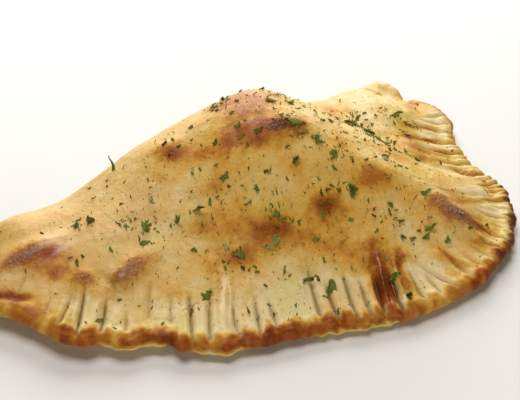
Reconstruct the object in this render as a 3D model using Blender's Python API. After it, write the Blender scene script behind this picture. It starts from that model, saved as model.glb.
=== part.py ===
"""Calzone: a round of dough folded over its filling, sealed with a fork, baked, and strewn with dried herbs.

Metres, +Z up. The origin is under the middle of the calzone, on the surface that it lies on.
+X runs along the fold, towards the end with the pale tab, and -Y points at the sealed front rim.
The sizes and places below are in millimetres.
"""

import math
import random

import bmesh
import bpy
import numpy as np
from mathutils import Vector, noise
from mathutils.bvhtree import BVHTree

MM = 0.001
SEED = 7

# The dough from above: the flat rim from the left corner round the front and the pale tab to the fold
RIM_POINTS = (
    (-107, 51), (-114, 38), (-110, 22), (-99, 7), (-86, -9), (-68, -23), (-51, -35), (-30, -47),
    (-4, -56), (28, -63), (57, -63), (80, -55.5), (95, -43), (100.5, -28), (99.5, -12), (104, 4),
    (111, 17), (113, 28), (111, 36), (107, 43), (109, 54), (105, 62.5), (96, 63),
)
# and the fold, from right to left
FOLD_POINTS = ((84, 60), (68, 59), (40, 62), (0, 64), (-45, 62), (-85, 57))
CURVE_STEPS = 16
# The place from which the whole outline is in straight view
HUB = (32, -18)

# Filling under the dough: centre x and y, reach to the left, to the right and in y, and height
MOUNDS = (
    (18, 30, 42, 37, 70, 36),
    (-66, 20, 46, 62, 60, 12.5),
    (62, -20, 40, 36, 38, 15),
    (86, 38, 20, 20, 24, 9),
    (-84, 60, 14, 14, 18, 4),
    (-58, 64, 20, 18, 22, -5.6),
    (-25, 62, 15, 14, 24, 4.8),
    (8, 64, 13, 10, 18, -2.4),
)
# The lift of a mound peaks at this share of the way from rim to fold, and this much is left at the fold
CREST_SHARE = 0.66
FOLD_EDGE = 0.5
# How the lift rises from the rim, and falls to the fold
RISE_POWER = 1.1
FALL_POWER = 2.2
# The corners, where the filling ends, and how far from them
CORNERS = ((-107, 51), (108, 52))
CORNER_REACH = 32

# Skin of the pressed rim, the bead along its edge, and how far the side reaches past the skin's edge
RIM_HEIGHT = 6.3
BEAD_HEIGHT = 1.0
BEAD_WIDTH = 2.2
BEAD_PLACE = 1.0
RIM_REACH = 2.6
FOLD_REACH = 9.0
# Distances from the fold between which the two layers come to be sealed
SEAL_START = 2
SEAL_END = 16
# Thickness of the pressed rim: place along it and thickness, and how far inwards that goes on
RIM_SIZES = (
    (0, 5.0), (60, 4.2), (100, 4.1), (150, 4.4), (200, 4.6), (235, 4.1), (296, 4.3), (330, 5.4), (400, 6.3),
)
SIZE_REACH = 22
# How far the rim's edge is drawn in from the outline: place along the rim and distance
TRIMS = (
    (0, 0), (18, 1.5), (34, 4.0), (46, 4.6), (54, 3.6), (62, 2.2), (70, 0.2), (77, 0), (84, 1.8), (89, 0.4),
    (94, 1.6), (101, 4.2), (107, 3.6), (111, 1.0), (115, 1.6), (120, 1.4), (127, 0.6), (132, 2.6),
    (139, 2.8), (146, 3.6), (153, 3.8), (160, 4.4), (169, 3.8), (177, 1.8), (185, 2.2), (193, 0.2),
    (228, 0.2), (234, 1.3), (249, 1.6), (254, 1.9), (258, 2.8), (262, 4.0), (268, 3.7), (276, 3.0),
    (281, 3.8), (286, 1.6), (296, 1.2), (304, 1.2), (309, 2.2), (315, 1.4), (323, 1.8), (330, 0.8),
    (337, 0), (400, 0),
)
# Unevenness of the rim's edge: length of a wave along it, how far it moves the edge out, and how far up
EDGE_WAVES = ((9, 0.5, 0.45), (3.4, 0.32, 0.26))
# How far the rim stands clear of the table: place along the rim and lift, and how far inwards that goes on
RIM_LIFTS = (
    (0, 2.0), (40, 4.6), (62, 4.8), (80, 4.0), (100, 3.0), (120, 2.2), (150, 1.4), (200, 0.9), (245, 2.2),
    (290, 1.2), (360, 0.3), (375, 1.2), (388, 3.4), (400, 2.6),
)
LIFT_REACH = 20
# Where the lower layer of dough shows below the upper one: from and to along the rim, and how far out
LIPS = ((84, 106, 0.9), (116, 133, 0.8), (160, 189, 1.3), (292, 330, 0.6))
# How far a lip takes to reach its full size, and the size from which the side is split all the way
LIP_END = 3
LIP_SPLIT = 0.6
# Teeth that the fork has cut into the rim: from and to along the rim, pitch and depth
TEETH = (228, 296, 3.7, 0.9)
TEETH_END = 3
# How far the teeth wander from an even pitch, in radians, and over what length
TOOTH_SHIFT = (0.9, 5.3)
# Share of the bead that a tooth takes away
TOOTH_CUT = 0.7
# Where the patterns of the edge's unevenness outwards and up begin
WAVE_LAYERS = (60, 70)

# Pale tab, where only the lower layer reaches out: its lower left corner, a direction across it, the step
# down to it and half the width of that step
TAB_CORNER = (97, 39.5)
TAB_ACROSS = (0.97, 0.23)
TAB_STEP = 2.6
TAB_EASE = 0.8

# Marks of the fork's tines: place along the rim, lean, depth, half width, outer and inner end
MARKS = (
    (16, 0.1, 0.8, 0.9, 4, 17), (23, 0.1, 0.9, 0.9, 4, 17), (30, 0.1, 0.7, 0.9, 5, 18),
    (37, 0.1, 0.6, 0.9, 6, 17), (48, 0, 0.5, 0.8, 8, 18), (60.5, -0.2, 0.6, 0.8, 7, 14),
    (68, 0, 1.1, 0.8, 4.5, 18), (75.5, -0.1, 1.6, 0.8, 2.4, 22), (83.5, 0, 1.7, 1.3, 3, 18),
    (92, -0.1, 0.8, 0.8, 4.5, 15), (99, -0.1, 0.6, 0.9, 8, 24), (107, -0.1, 0.6, 0.8, 7, 20),
    (115, -0.1, 1.3, 0.8, 2.2, 22), (121, -0.05, 1.3, 0.8, 2.4, 20), (131, -0.15, 0.9, 0.8, 4, 18),
    (139, 0, 1.2, 0.8, 2.8, 19), (145.5, -0.1, 0.9, 0.8, 4.5, 17), (162, 0.05, 1.2, 0.8, 4.5, 22),
    (168, 0, 1.4, 0.8, 2.2, 18), (174.5, 0.05, 1.3, 0.8, 2.2, 21), (179.5, 0.1, 1.2, 0.8, 2, 18),
    (184.5, 0.17, 1.5, 0.8, 1.8, 20), (191, 0.15, 1.6, 0.9, 1.8, 20), (201, 0, 1, 0.9, 4, 17),
    (208.5, -0.1, 0.7, 0.8, 3, 15), (216, -0.6, 0.7, 0.8, 2.2, 19), (224, -0.2, 0.7, 0.8, 1.8, 18),
    (231, -0.2, 0.5, 0.8, 2, 15), (238, -0.3, 0.5, 0.8, 2, 14), (244.5, -0.3, 0.7, 0.8, 2, 15),
    (250.5, -0.1, 0.5, 0.8, 2, 22), (257, -0.1, 0.4, 0.7, 2, 14), (263.5, -0.1, 0.6, 0.8, 2, 17),
    (270.5, 0, 0.5, 0.8, 2, 15), (278, 0, 0.7, 0.8, 2, 17), (285, 0.1, 0.5, 0.8, 2, 14),
    (291.5, 0.3, 0.8, 0.8, 2, 16), (299, 0.5, 0.9, 0.8, 2, 15), (306, 0.2, 0.7, 0.8, 2, 17),
    (313, 0.2, 0.9, 0.8, 2, 24), (320, 0.1, 0.7, 0.8, 2, 19), (327, 0.1, 0.9, 0.8, 2, 21),
    (334, 0, 0.7, 0.8, 2, 18), (341, 0, 0.6, 0.8, 3, 15),
)
# How far before and after its outer end a mark comes to its depth, and how far it takes to fade inwards
MARK_RISE = (1.6, 1.2)
MARK_FADE = 7
# Across a mark, in its half widths: a wide hollow round the groove, and a rib on each side
HOLLOW_SHARE = 0.3
HOLLOW_WIDTH = 2.2
RIB_SHARE = 0.4
RIB_PLACE = 2.7
RIB_WIDTH = 1.3
# How far in from the edge a mark's depth decides how deeply it notches the edge, and how deeply
NOTCH_PLACE = 3.2
NOTCH_SHARE = 0.35

# Blisters: centre x and y, half length and half width, turn in degrees, height
BLISTERS = (
    (16, 13, 13, 6, -20, 1.3), (-18, 40, 8, 5, -40, 1.2), (-80, 29, 13, 5.5, -5, 2.4),
    (-70, 7, 5, 4, 20, 1.2), (-53, 2.5, 11, 4.5, 12, 1.9), (16, -17, 6.5, 6, 0, 1.0),
    (41, -14, 10, 7, -30, 1.0), (63.5, -37, 12, 6, -80, 2.8), (-6, -14, 9, 6, 30, 0.8),
    (-20, -13, 7, 5, 0, 0.8), (25, -36, 9, 6, -40, 1.2), (-20, -1, 7, 5, 30, 0.7), (26, -4, 7, 6, 0, 0.7),
    (73, 3, 8, 5, 40, 0.9), (108, 29, 6, 5, 0, 1.3), (-96, 30, 8, 9, 20, 1.0), (84, -24, 9, 4, -60, 1.0),
    (-38, 20, 12, 8, 20, 0.7), (-2, 55, 14, 5, 0, 1.0), (56, 12, 9, 6, 60, 0.8),
)

# Folds and creases of the skin: points from end to end, half width, and height above it or depth below
STROKES = (
    (((25, -39), (20, -49), (17, -56)), 1.6, 1.9),
    (((30, -41), (26, -49), (23.5, -56)), 1.4, 1.5),
    (((36, -40), (33, -48), (30.5, -56)), 1.3, 1.2),
    (((-27, -8), (-29, -14), (-33, -22)), 1.3, 0.9),
    (((-26, -20), (-31, -29), (-36, -36)), 1.2, 1.3),
    (((2, -22), (-1, -31), (-4, -40)), 1.2, 1.0),
    (((66, -46), (69, -52), (72, -55)), 1.6, 0.9),
    (((80, -34), (87, -38), (91, -38)), 1.5, 0.9),
    (((45, -45), (52, -52), (56, -57)), 1.5, 1.0),
    (((68, 49), (66, 32), (67, 17), (69, 2), (77, -8), (90, -14)), 3.0, -1.9),
    (((84, 34), (92, 20), (95, 6)), 2.6, -0.8),
    (((-101, 24), (-95, 17), (-88, 12)), 2.0, -1.8),
    (((-64, 10), (-62, 1), (-66, -8)), 1.8, -1.1),
    (((-92, 40), (-60, 34), (-40, 36)), 4.0, -0.8),
)
STROKE_SAMPLES = 24
# Share of a fold's length over which it fades at each end, and the height left at the very end
STROKE_FADE = 0.25
STROKE_END = 0.35

# Slow unevenness of the skin: size of a hollow and height
WAVE_SIZE = 17
WAVE_HEIGHT = 0.55
# The unevenness has its full height from this far in, and this share of it on the pressed rim
LOOSE_SKIN = 12
PRESSED_SHARE = 0.35

# Fineness of the skin, and the triangles that are left of it
GRID_X = 300
GRID_Y = 176
CRUST_TRIANGLES = 7300

# Cross-section of the side, from the skin's edge outwards and down: share of its reach, share of the height
RIM_SIDE = (
    (0.42, 0.95), (0.74, 0.85), (0.93, 0.71), (1.00, 0.56), (0.99, 0.42),
    (0.91, 0.29), (0.78, 0.18), (0.60, 0.08), (0.20, 0.01),
)
# The same where the lower layer shows
LIPPED_SIDE = (
    (0.50, 0.95), (0.84, 0.85), (0.98, 0.71), (0.92, 0.57), (0.60, 0.46),
    (0.78, 0.38), (0.86, 0.25), (0.70, 0.11), (0.20, 0.01),
)
FOLD_SIDE = (
    (0.34, 0.93), (0.60, 0.80), (0.79, 0.65), (0.91, 0.51), (0.97, 0.40),
    (1.00, 0.29), (0.98, 0.18), (0.90, 0.08), (0.72, 0.01),
)
LOWER_RINGS = 3
# The underside goes down to the table over these shares of the way out from the hub
UNDERSIDE = ((0.94, 0.45), (0.87, 0.0))

# Dried leaf: thickness above the skin and depth in it, and how many flakes are fused to the dough
FLAKE_TOP = 0.45
FLAKE_ROOT = 0.4
FLAKE_SIDES = 6
FLAKE_COUNT = 100
# Lengths of the smaller flakes, and their widths as shares of that
FLAKE_LENGTHS = (1.5, 3.1)
FLAKE_WIDTHS = (0.3, 0.7)
# How unevenly a flake is torn along and across, and how far an edge curls up
TORN_ALONG = (0.85, 1.1)
TORN_ACROSS = (0.75, 1.15)
FLAKE_CURL = 0.35
# Flakes keep this far from the edges and from each other
FLAKE_MARGIN = 6
FLAKE_GAP = 0.4
# The flakes that stand out: x, y, length, width and turn in degrees
FLAKES = (
    (-19, -13, 6.0, 2.5, -50), (-35, -20, 4.2, 3.4, 0), (26, 2, 5.0, 3.6, -80), (22, 11, 5.0, 3.6, -36),
    (9, 15, 4.0, 2.1, -5), (22, 27, 4.4, 2.6, -50), (29, -17, 3.5, 2.8, -50), (0, -11, 3.2, 2.5, -88),
    (-5, -17, 3.0, 2.8, 34), (4, -39, 4.4, 2.1, 45), (26, -56, 3.2, 2.8, 0), (50, -38, 4.4, 1.9, 0),
    (54, -44, 3.2, 2.0, 42), (58, -26, 4.4, 1.9, -7), (-22, 7, 4.8, 1.6, -37), (-56, 29, 3.2, 2.8, -55),
    (-41, 14, 4.8, 2.6, -93), (-44, 9, 3.2, 2.5, -14), (-9, 10, 4.0, 2.4, 7), (29, -4, 3.2, 2.6, -95),
    (60, 25, 4.6, 2.2, -60), (65, 18, 4.6, 2.2, -75), (67, 10, 4.4, 2.0, -80), (85, 25, 4.6, 2.2, 3),
)
# Where the rest lie: centre x and y, reach and density, over an even thin scatter
SCATTERS = (
    (25, 10, 32, 0.9), (60, 20, 12, 1.0), (-10, -5, 30, 0.7), (-45, 15, 18, 0.4), (45, -30, 22, 0.5),
    (-43, 17, 5, 1.6), (67, 30, 4, 2.0), (66, 21, 4, 2.2), (67, 13, 4, 2.2), (70, 4, 4, 2.0),
    (80, 26, 7, 1.0), (34, -3, 5, 1.2),
)
THIN_SCATTER = 0.12
# One leaf stands on end: x, y, height and width, its foot's corners in radians, its root, taper and tilt
SPIKE = (-35, 52, 8.5, 1.5)
SPIKE_CORNERS = (0.3, 1.6, 3.3, 4.8)
SPIKE_ROOT = 1.0
SPIKE_TAPER = 0.3
SPIKE_TILT = -0.6
# Far enough above the crust to look down on all of it
ABOVE = 100


def spline(points, steps):
    """A closed Catmull-Rom curve through points, with steps places between each two."""
    p = np.array(points, float)
    before, after, beyond = np.roll(p, 1, 0), np.roll(p, -1, 0), np.roll(p, -2, 0)
    t = np.linspace(0, 1, steps, endpoint=False)[None, :, None]
    p, before, after, beyond = (q[:, None, :] for q in (p, before, after, beyond))
    curve = 0.5 * (
        2 * p + (after - before) * t
        + (2 * before - 5 * p + 4 * after - beyond) * t ** 2
        + (3 * p - before - 3 * after + beyond) * t ** 3
    )
    return curve.reshape(-1, 2)


def lengths_along(line):
    """The length of a line of points up to each of them."""
    return np.concatenate([[0], np.cumsum(np.linalg.norm(np.diff(line, axis=0), axis=1))])


def nearest(places, line):
    """For each place, its distance from a line of points, and its place along the line's length."""
    steps = np.diff(line, axis=0)
    squared = (steps ** 2).sum(1)
    along = lengths_along(line)
    distance = np.empty(len(places))
    length = np.empty(len(places))
    batch = 4000
    for start in range(0, len(places), batch):
        aside = places[start:start + batch, None, :] - line[None, :-1, :]
        share = np.clip((aside * steps).sum(2) / squared, 0, 1)
        squares = ((aside - share[..., None] * steps) ** 2).sum(2)
        index = squares.argmin(1)
        rows = np.arange(len(index))
        distance[start:start + batch] = np.sqrt(squares[rows, index])
        length[start:start + batch] = along[index] + share[rows, index] * np.sqrt(squared[index])
    return distance, length


def smooth(low, high, value):
    """0 below low, 1 above high, and an even S between."""
    t = np.clip((value - low) / (high - low), 0, 1)
    return t * t * (3 - 2 * t)


def eased(stops, values):
    """Amounts read off a table of stops, with an even slope between each two."""
    where, amounts = np.array(stops, float).T
    steps = np.arange(len(where))
    place = np.interp(values, where, steps)
    share = place % 1
    return np.interp(place - share + share * share * (3 - 2 * share), steps, amounts)


def hill(offset):
    """A bell that is 1 in the middle and near 0 at twice its reach."""
    return np.exp(-offset ** 2)


class Plan:
    """The outline of the dough seen from above, and places measured from it."""

    def __init__(self):
        outline = spline(RIM_POINTS + FOLD_POINTS, CURVE_STEPS)
        self.outline = outline - (outline.min(0) + outline.max(0)) / 2
        self.half_size = self.outline.max(0)
        rim_count = (len(RIM_POINTS) - 1) * CURVE_STEPS + 1
        self.rim = self.outline[:rim_count]
        self.fold = self.outline[rim_count:]
        self.ring = np.vstack([self.outline, self.outline[:1]])
        self.around = lengths_along(self.ring)
        ahead = np.roll(self.outline, -1, 0) - np.roll(self.outline, 1, 0)
        self.normals = np.stack([ahead[:, 1], -ahead[:, 0]], 1) / np.linalg.norm(ahead, axis=1)[:, None]
        self.fold_weight = self.soften(np.arange(len(self.outline)) >= rim_count)
        self.reaches = RIM_REACH + (FOLD_REACH - RIM_REACH) * self.fold_weight
        trims = np.concatenate([eased(TRIMS, lengths_along(self.rim)), np.zeros(len(self.fold))])
        skin = self.outline - self.normals * (self.reaches + trims)[:, None] - HUB
        angles = np.arctan2(skin[:, 1], skin[:, 0])
        order = np.argsort(angles)
        self.angles = angles[order]
        self.reach = np.linalg.norm(skin, axis=1)[order]

    def soften(self, inside):
        """1 where inside and 0 elsewhere, with an even slope over the spans beside each end."""
        width = 2 * CURVE_STEPS
        window = np.hanning(2 * width + 1)
        values = np.concatenate([inside[-width:], inside, inside[:width]]).astype(float)
        return np.convolve(values, window / window.sum(), "valid")

    def spread(self, square):
        """Places in the plan for places in the square from -1 to 1, with its edge on the skin's edge."""
        x = square[:, 0] * np.sqrt(1 - square[:, 1] ** 2 / 2)
        y = square[:, 1] * np.sqrt(1 - square[:, 0] ** 2 / 2)
        angle = np.arctan2(y * self.half_size[1], x * self.half_size[0])
        reach = np.interp(angle, self.angles, self.reach, period=2 * math.pi)
        return HUB + np.stack([np.cos(angle), np.sin(angle)], 1) * (np.hypot(x, y) * reach)[:, None]

    def contains(self, place):
        """Whether a place lies on the skin."""
        across, up = place - HUB
        reach = np.interp(math.atan2(up, across), self.angles, self.reach, period=2 * math.pi)
        return math.hypot(across, up) < reach

    def measure(self, places):
        """Distance from the rim, distance along it, and distance from the fold."""
        from_rim, along = nearest(places, self.rim)
        from_fold, _ = nearest(places, self.fold)
        return np.maximum(from_rim - eased(TRIMS, along), 0), along, from_fold

    def around_outline(self, places, values):
        """Values given for each point of the outline, read at the points nearest to places."""
        _, length = nearest(places, self.ring)
        return np.interp(length, self.around[:-1], values, period=self.around[-1])


def mark_shares(from_rim, along):
    """How deep each place is in a mark of the fork, and how high on the ribs beside the marks."""
    groove = np.zeros(len(from_rim))
    rib = np.zeros(len(from_rim))
    for place, lean, depth, half_width, start, end in MARKS:
        aside = np.abs(along - place - lean * (from_rim - start)) / half_width
        inward = smooth(start - MARK_RISE[0], start + MARK_RISE[1], from_rim)
        inward *= 1 - smooth(end - MARK_FADE, end, from_rim)
        section = hill(aside) + HOLLOW_SHARE * hill(aside / HOLLOW_WIDTH)
        groove = np.maximum(groove, depth * section * inward)
        rib = np.maximum(rib, depth * hill((aside - RIB_PLACE) / RIB_WIDTH) * inward)
    return groove, rib


def unevenness(places, size, layer):
    """Noise between about -1 and 1, with hollows of that size; each layer is another pattern."""
    return np.array([noise.noise(Vector((x / size, y / size, layer))) for x, y in places])


def edge_wave(along, column):
    """How far the rim's edge stands out of line: column 1 outwards, column 2 up."""
    line = np.column_stack([along, np.zeros_like(along)])
    wave = np.zeros(len(along))
    for layer, (length, *heights) in enumerate(EDGE_WAVES):
        wave += 2 * heights[column - 1] * unevenness(line, length, WAVE_LAYERS[column - 1] + layer)
    return wave


def tooth_relief(along):
    """How far each tooth of the dark rim stands back, as a share of the depth of the teeth."""
    start, end, pitch, _ = TEETH
    shift = TOOTH_SHIFT[0] * np.sin(along / TOOTH_SHIFT[1])
    wave = np.abs(np.sin(math.pi * (along - start) / pitch + shift))
    inside = smooth(start - TEETH_END, start + TEETH_END, along)
    return (1 - wave) ** 2 * inside * (1 - smooth(end - TEETH_END, end + TEETH_END, along))


def dome_height(places, from_rim, from_fold):
    """How far the filling lifts the dough above the flat rim."""
    share = from_rim / (from_rim + from_fold)
    rise = np.sin(np.clip(share / CREST_SHARE, 0, 1) * math.pi / 2) ** RISE_POWER
    beyond = np.clip((share - CREST_SHARE) / (1 - CREST_SHARE), 0, 1)
    fall = 1 - (1 - FOLD_EDGE) * beyond ** FALL_POWER
    lift = np.zeros(len(places))
    for x, y, left, right, reach_y, height in MOUNDS:
        reach_x = np.where(places[:, 0] < x, left, right)
        lift += height * hill((places[:, 0] - x) / reach_x) * hill((places[:, 1] - y) / reach_y)
    for corner in CORNERS:
        lift *= smooth(0, CORNER_REACH, np.linalg.norm(places - corner, axis=1))
    return lift * rise * fall


def blister_height(places):
    """Bubbles that have swollen under the skin."""
    height = np.zeros(len(places))
    for x, y, length, width, turn, rise in BLISTERS:
        cos, sin = math.cos(math.radians(turn)), math.sin(math.radians(turn))
        aside = places - (x, y)
        u = (aside[:, 0] * cos + aside[:, 1] * sin) / length
        v = (aside[:, 1] * cos - aside[:, 0] * sin) / width
        height += rise * np.exp(-(u * u + v * v) ** 1.5)
    return height


def stroke_height(places):
    """Folds above the skin and creases below it, fading at both ends."""
    height = np.zeros(len(places))
    for points, half_width, rise in STROKES:
        points = np.array(points, float)
        t = np.linspace(0, 1, STROKE_SAMPLES)
        knots = np.linspace(0, 1, len(points))
        line = np.stack([np.interp(t, knots, points[:, 0]), np.interp(t, knots, points[:, 1])], 1)
        distance, length = nearest(places, line)
        share = length / lengths_along(line)[-1]
        ends = smooth(0, STROKE_FADE, share) * (1 - smooth(1 - STROKE_FADE, 1, share))
        height += rise * hill(distance / half_width) * (STROKE_END + (1 - STROKE_END) * ends)
    return height


def tab_weight(places):
    """1 on the pale tab, where the upper layer stops, and 0 elsewhere."""
    beyond = (places - TAB_CORNER) @ np.array(TAB_ACROSS)
    above = places[:, 1] - TAB_CORNER[1]
    return smooth(-TAB_EASE, TAB_EASE, np.minimum(beyond, above))


def rim_lift(along):
    """How far the underside of the rim stands clear of the table."""
    stops, lifts = zip(*RIM_LIFTS)
    return np.interp(along, stops, lifts)


def skin_height(places, plan):
    """Height of the upper skin of the dough at each place."""
    from_rim, along, from_fold = plan.measure(places)
    sealed = smooth(SEAL_START, SEAL_END, from_fold)
    bead = (BEAD_HEIGHT + edge_wave(along, 2)) * hill((from_rim - RIM_REACH - BEAD_PLACE) / BEAD_WIDTH)
    bead *= (1 - TOOTH_CUT * tooth_relief(along)) * sealed
    lift = rim_lift(along) * (1 - smooth(0, LIFT_REACH, from_rim)) * sealed
    stops, sizes = zip(*RIM_SIZES)
    thin = (np.interp(along, stops, sizes) - RIM_HEIGHT) * (1 - smooth(0, SIZE_REACH, from_rim)) * sealed
    skin = blister_height(places) + stroke_height(places) + unevenness(places, WAVE_SIZE, SEED) * WAVE_HEIGHT
    loose = smooth(RIM_REACH, LOOSE_SKIN, from_rim)
    groove, rib = mark_shares(from_rim, along)
    height = RIM_HEIGHT + bead + dome_height(places, from_rim, from_fold) + lift + thin
    height += skin * (PRESSED_SHARE + (1 - PRESSED_SHARE) * loose) + (rib * RIB_SHARE - groove) * sealed
    return height - TAB_STEP * tab_weight(places)


def side_rings(plan, places, heights):
    """The places and heights of each ring of the side and underside, out and down from the skin's edge."""
    _, along, _ = plan.measure(places)
    weight = plan.around_outline(places, plan.fold_weight)
    sealed = 1 - weight
    normals = np.stack([plan.around_outline(places, part) for part in plan.normals.T], 1)
    normals /= np.linalg.norm(normals, axis=1)[:, None]
    foot = rim_lift(along) * sealed
    groove, _ = mark_shares(np.full(len(along), NOTCH_PLACE), along)
    reach = plan.around_outline(places, plan.reaches)
    reach += (edge_wave(along, 1) - NOTCH_SHARE * groove - TEETH[3] * tooth_relief(along)) * sealed
    lip = np.zeros(len(places))
    for start, end, out in LIPS:
        inside = smooth(start - LIP_END, start + LIP_END, along)
        lip = np.maximum(lip, out * inside * (1 - smooth(end - LIP_END, end + LIP_END, along)))
    split = np.clip(lip / LIP_SPLIT, 0, 1)
    rings = []
    for number, (plain, lipped, fold_part) in enumerate(zip(RIM_SIDE, LIPPED_SIDE, FOLD_SIDE)):
        out = (plain[0] * (1 - split) + lipped[0] * split) * sealed + fold_part[0] * weight
        rise = (plain[1] * (1 - split) + lipped[1] * split) * sealed + fold_part[1] * weight
        lower = number >= len(RIM_SIDE) - LOWER_RINGS - 1
        aside = reach * out + (lip * sealed if lower else 0)
        rings.append((places + normals * aside[:, None], foot + (heights - foot) * rise))
    for share, lifted in UNDERSIDE:
        rings.append((HUB + (places - HUB) * share, foot * lifted))
    return rings


def make_crust(plan):
    """The folded dough as one closed mesh: a skin over the whole plan, its side and its flat underside."""
    bm = bmesh.new()
    bmesh.ops.create_grid(bm, x_segments=GRID_X, y_segments=GRID_Y, size=1)
    bm.verts.index_update()
    places = plan.spread(np.array([v.co.xy for v in bm.verts]))
    heights = skin_height(places, plan)
    for vert, place, height in zip(bm.verts, places, heights):
        vert.co = Vector((*place, height)) * MM
    edges = [e for e in bm.edges if e.is_boundary]
    loop = list({v: None for e in edges for v in e.verts})
    order = {v: k for k, v in enumerate(loop)}
    indices = [v.index for v in loop]
    for ring_places, ring_heights in side_rings(plan, places[indices], heights[indices]):
        made = bmesh.ops.extrude_edge_only(bm, edges=edges)["geom"]
        edges = [g for g in made if isinstance(g, bmesh.types.BMEdge) and g.is_boundary]
        following = {}
        for vert in (g for g in made if isinstance(g, bmesh.types.BMVert)):
            above = next(e.other_vert(vert) for e in vert.link_edges if e.other_vert(vert) in order)
            following[vert] = order[above]
        for vert, k in following.items():
            vert.co = Vector((*ring_places[k], ring_heights[k])) * MM
        order = following
    bmesh.ops.contextual_create(bm, geom=edges)
    bmesh.ops.recalc_face_normals(bm, faces=bm.faces)
    mesh = bpy.data.meshes.new("calzone")
    bm.to_mesh(mesh)
    bm.free()
    crust = bpy.data.objects.new("calzone", mesh)
    bpy.context.scene.collection.objects.link(crust)
    return crust


def apply_modifier(crust, modifier):
    """Make a modifier's result the object's own mesh."""
    bpy.context.view_layer.objects.active = crust
    bpy.ops.object.modifier_apply(modifier=modifier.name)


def thin_out(crust):
    """Fewer triangles, with most of them left where the skin bends."""
    triangles = sum(len(p.vertices) - 2 for p in crust.data.polygons)
    decimate = crust.modifiers.new("thin out", "DECIMATE")
    decimate.ratio = CRUST_TRIANGLES / triangles
    decimate.use_collapse_triangulate = True
    apply_modifier(crust, decimate)


def flake_places(plan):
    """The flakes that stand out, then smaller ones by a seeded draw, none touching another."""
    draw = random.Random(SEED)
    flakes = [(np.array(f[:2], float), *f[2:]) for f in FLAKES]
    while len(flakes) < FLAKE_COUNT:
        place = np.array([draw.uniform(-1, 1), draw.uniform(-1, 1)]) * plan.half_size
        length = draw.uniform(*FLAKE_LENGTHS)
        width = length * draw.uniform(*FLAKE_WIDTHS)
        turn = draw.uniform(-90, 90)
        chance = THIN_SCATTER + sum(
            density * math.exp(-((place[0] - x) ** 2 + (place[1] - y) ** 2) / reach ** 2)
            for x, y, reach, density in SCATTERS
        )
        from_rim, _, from_fold = (d[0] for d in plan.measure(place[None]))
        inside = from_rim > FLAKE_MARGIN and from_fold > FLAKE_MARGIN and plan.contains(place)
        apart = all(np.linalg.norm(place - f[0]) > (length + f[1]) / 2 + FLAKE_GAP for f in flakes)
        if draw.random() < chance and inside and apart:
            flakes.append((place, length, width, turn))
    return flakes


def make_flake(tree, place, length, width, turn, draw):
    """A bent flake of dried leaf that follows the skin, with its root in it."""
    upper, lower = [], []
    for k in range(FLAKE_SIDES):
        angle = 2 * math.pi * k / FLAKE_SIDES
        u = math.cos(angle) * length / 2 * draw.uniform(*TORN_ALONG)
        v = math.sin(angle) * width / 2 * draw.uniform(*TORN_ACROSS)
        cos, sin = math.cos(math.radians(turn)), math.sin(math.radians(turn))
        spot = Vector((place[0] + u * cos - v * sin, place[1] + u * sin + v * cos, ABOVE)) * MM
        hit, normal, _, _ = tree.ray_cast(spot, Vector((0, 0, -1)))
        curl = draw.uniform(0, FLAKE_CURL)
        upper.append(hit + normal * (FLAKE_TOP + curl) * MM)
        lower.append(hit - normal * FLAKE_ROOT * MM)
    return prism("flake", upper, lower)


def make_spike(tree):
    """A leaf that stands on end, rooted in the skin."""
    x, y, height, width = SPIKE
    hit, _, _, _ = tree.ray_cast(Vector((x, y, ABOVE)) * MM, Vector((0, 0, -1)))
    corners = [Vector((math.cos(a), math.sin(a), 0)) * width / 2 for a in SPIKE_CORNERS]
    lower = [hit + (c - Vector((0, 0, SPIKE_ROOT))) * MM for c in corners]
    upper = [hit + (SPIKE_TAPER * c + Vector((SPIKE_TILT, 0, height))) * MM for c in corners]
    return prism("spike", upper, lower)


def prism(name, upper, lower):
    """A closed solid between two rings of points that turn the same way."""
    count = len(upper)
    faces = [list(range(count)), list(range(2 * count - 1, count - 1, -1))]
    faces += [[k, k + count, (k + 1) % count + count, (k + 1) % count] for k in range(count)]
    mesh = bpy.data.meshes.new(name)
    mesh.from_pydata(upper + lower, [], faces)
    bm = bmesh.new()
    bm.from_mesh(mesh)
    bmesh.ops.triangulate(bm, faces=bm.faces)
    bmesh.ops.recalc_face_normals(bm, faces=bm.faces)
    bm.to_mesh(mesh)
    bm.free()
    return bpy.data.objects.new(name, mesh)


def strew_herbs(crust, plan, herb):
    """Fuse flakes of dried leaf to the crust by one union."""
    bm = bmesh.new()
    bm.from_mesh(crust.data)
    tree = BVHTree.FromBMesh(bm)
    bm.free()
    draw = random.Random(SEED)
    leaves = bpy.data.collections.new("leaves")
    bpy.context.scene.collection.children.link(leaves)
    pieces = [make_flake(tree, *flake, draw) for flake in flake_places(plan)]
    pieces.append(make_spike(tree))
    for piece in pieces:
        piece.data.materials.append(herb)
        leaves.objects.link(piece)
    union = crust.modifiers.new("herbs", "BOOLEAN")
    union.operation = "UNION"
    union.operand_type = "COLLECTION"
    union.collection = leaves
    union.material_mode = "TRANSFER"
    apply_modifier(crust, union)
    for piece in pieces:
        bpy.data.objects.remove(piece)
    bpy.data.collections.remove(leaves)


def keep_main_body(crust):
    """Drop loose scraps and sealed hollows, so that one closed body is left, in triangles."""
    bm = bmesh.new()
    bm.from_mesh(crust.data)
    unseen = set(bm.verts)
    bodies = []
    while unseen:
        front = [unseen.pop()]
        body = list(front)
        while front:
            around = {e.other_vert(v) for v in front for e in v.link_edges} & unseen
            unseen -= around
            front = list(around)
            body += front
        bodies.append(body)
    bodies.sort(key=len)
    for scrap in bodies[:-1]:
        bmesh.ops.delete(bm, geom=scrap, context="VERTS")
    bmesh.ops.triangulate(bm, faces=bm.faces)
    bm.to_mesh(crust.data)
    bm.free()


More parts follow.
